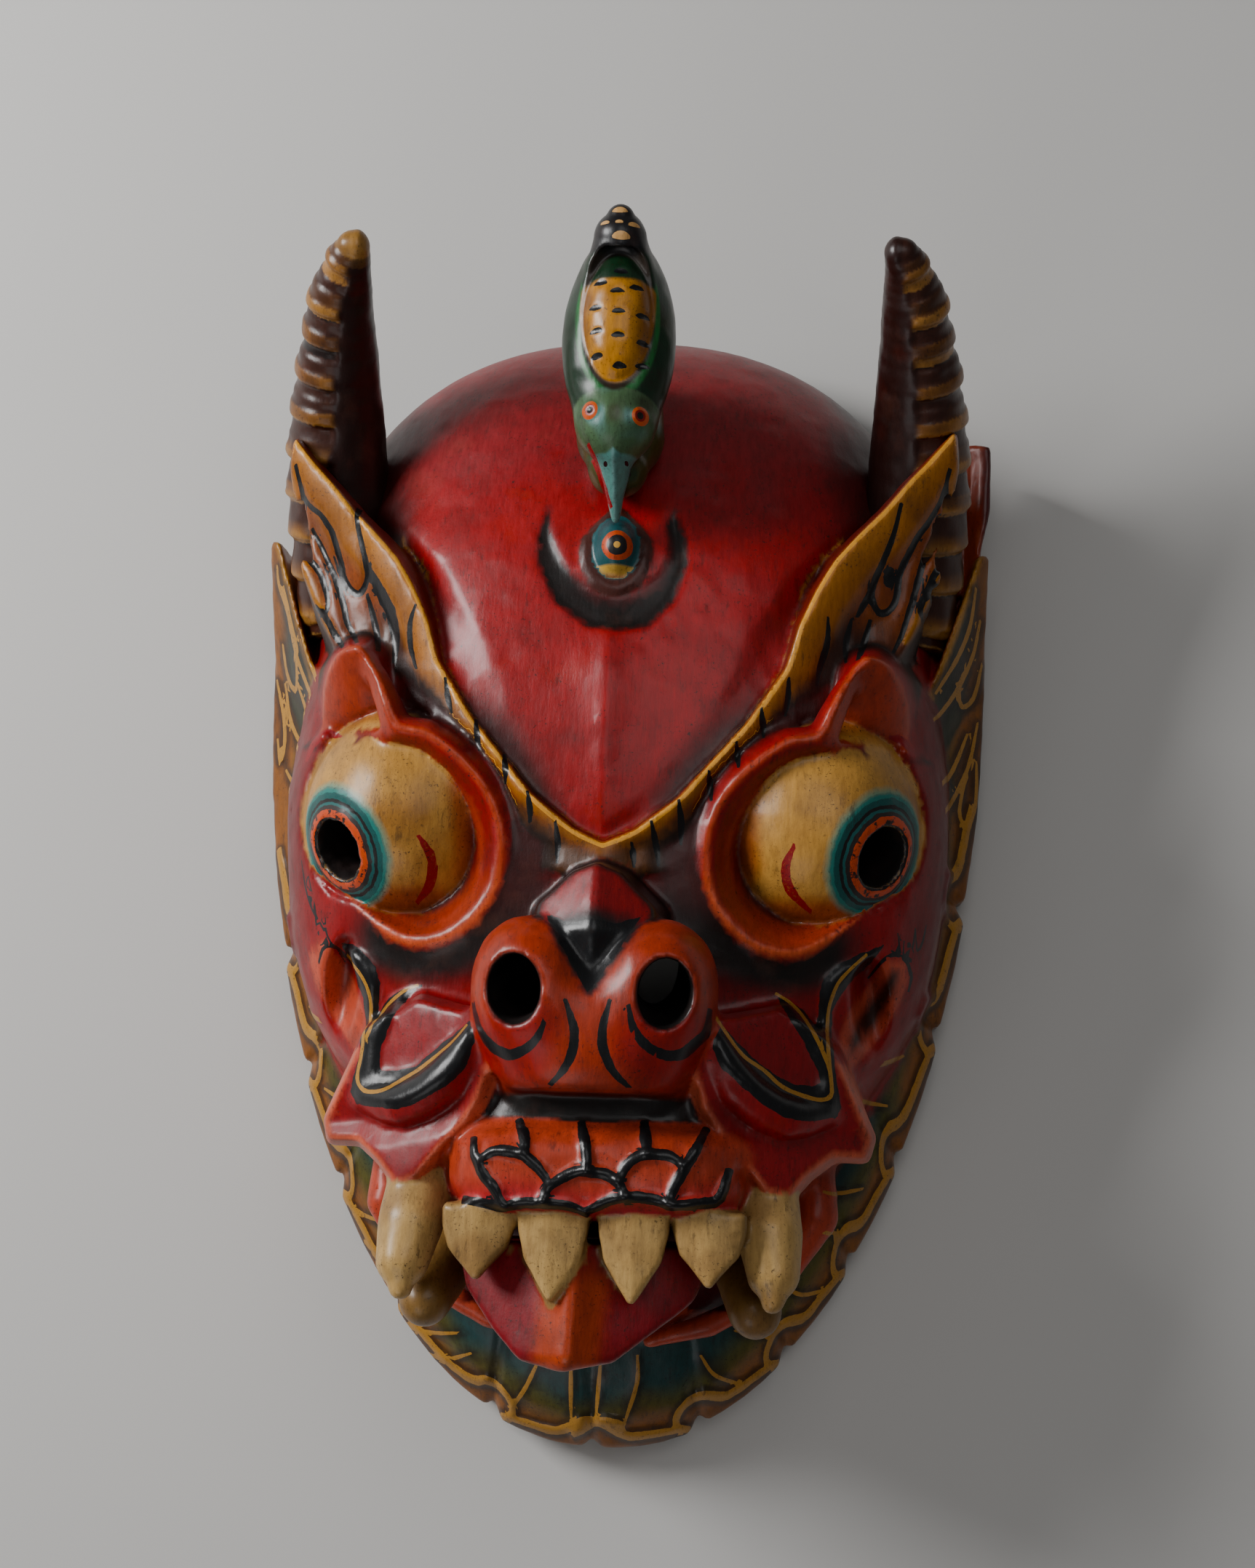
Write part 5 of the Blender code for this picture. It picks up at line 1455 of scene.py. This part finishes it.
hornRight = buildHorn("ringedHornRight", 1, headVolume)
crest = buildBird(headVolume)

print("materials")
mask.data.materials.append(paintedWood("varnished oil paint on carved wood",
                                       {"iris": True, "roughness": 0.42, "coat": 0.38}))
# brown stain sinks in and shows the grain, and the ring edges go pale: rubbed wear and a painted highlight
hornStain = paintedWood("brown stain and varnish on carved horn-shaped wood",
                        {"roughness": 0.40, "coat": 0.40, "ridge": "#B98A4A"})
hornLeft.data.materials.append(hornStain)
hornRight.data.materials.append(hornStain)
# enamel lies smoother than the mask's oil paint, so the small bird shines more
crest.data.materials.append(paintedWood("glossy enamel paint on carved wood",
                                        {"bird": True, "roughness": 0.36, "coat": 0.45, "ridge": "#C8B070"}))

for piece, node, slot in ((mask, "mask", "lacquered_wood"), (hornLeft, "horn_left", "horn_stain"),
                          (hornRight, "horn_right", "horn_stain"), (crest, "bird", "bird_paint")):
    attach(piece, "root")
    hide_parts(node)

# Floor, lights and camera
print("studio")
floorMesh = bpy.data.meshes.new("studioFloor")
floorMesh.from_pydata([(-9, -9, -0.0006), (9, -9, -0.0006), (9, 9, -0.0006), (-9, 9, -0.0006)], [],
                      [(0, 1, 2, 3)])
floor = bpy.data.objects.new("studioFloor", floorMesh)
bpy.context.scene.collection.objects.link(floor)
# dyed paper off a roll: no gloss, so only the soft shadows show on it
floorPaper = bpy.data.materials.new("matt background paper")
floorPaper.use_nodes = True
floorPaper.node_tree.nodes["Principled BSDF"].inputs["Base Color"].default_value = rgba("#C9C7C4")
floorPaper.node_tree.nodes["Principled BSDF"].inputs["Roughness"].default_value = 0.85
floorMesh.materials.append(floorPaper)

studio = {"key": {"place": (-1.2, 0.52, 0.86), "size": 0.55, "watts": 27.0},
          "top": {"place": (0.35, 0.55, 1.7), "size": 1.0, "watts": 5.0},
          "low": {"place": (-0.5, -1.2, 1.1), "size": 0.8, "watts": 3.0}, "sky": 0.10}
target = Vector((0.0, 0.0, 0.08))
for name in ("key", "top", "low"):
    lamp = bpy.data.lights.new(name, "AREA")
    lamp.energy = studio[name]["watts"]
    lamp.size = studio[name]["size"]
    light = bpy.data.objects.new(name, lamp)
    bpy.context.scene.collection.objects.link(light)
    light.location = studio[name]["place"]
    light.rotation_euler = (target - light.location).to_track_quat("-Z", "Y").to_euler()
world = bpy.data.worlds.new("studio air")
world.use_nodes = True
world.node_tree.nodes["Background"].inputs["Color"].default_value = (1, 1, 1, 1)
world.node_tree.nodes["Background"].inputs["Strength"].default_value = studio["sky"]
bpy.context.scene.world = world

# the lens: 1100 mm away, 3.146 photo pixels to a millimetre, 36 mm of sensor over 2156 pixels
view = {"distance": 1.1, "yaw": 3.5, "pitch": 8.0, "roll": 2.0, "target": (0.006, 0.030, 0.080),
        "lens": 1100 * 3.146 * 36 / 2156}
yaw, pitch, roll = (math.radians(view[k]) for k in ("yaw", "pitch", "roll"))
back = Vector((math.sin(yaw) * math.cos(pitch), -math.sin(pitch), math.cos(yaw) * math.cos(pitch)))
level = Vector((0, 1, 0)).cross(back).normalized()
upward = back.cross(level)
right = level * math.cos(roll) + upward * math.sin(roll)
top = upward * math.cos(roll) - level * math.sin(roll)
camera = bpy.data.objects.new("camera", bpy.data.cameras.new("camera"))
bpy.context.scene.collection.objects.link(camera)
pose = Matrix((right, top, back)).transposed().to_4x4()
pose.translation = Vector(view["target"]) + back * view["distance"]
camera.matrix_world = pose
camera.data.sensor_width = 36.0
camera.data.lens = view["lens"]
bpy.context.scene.camera = camera
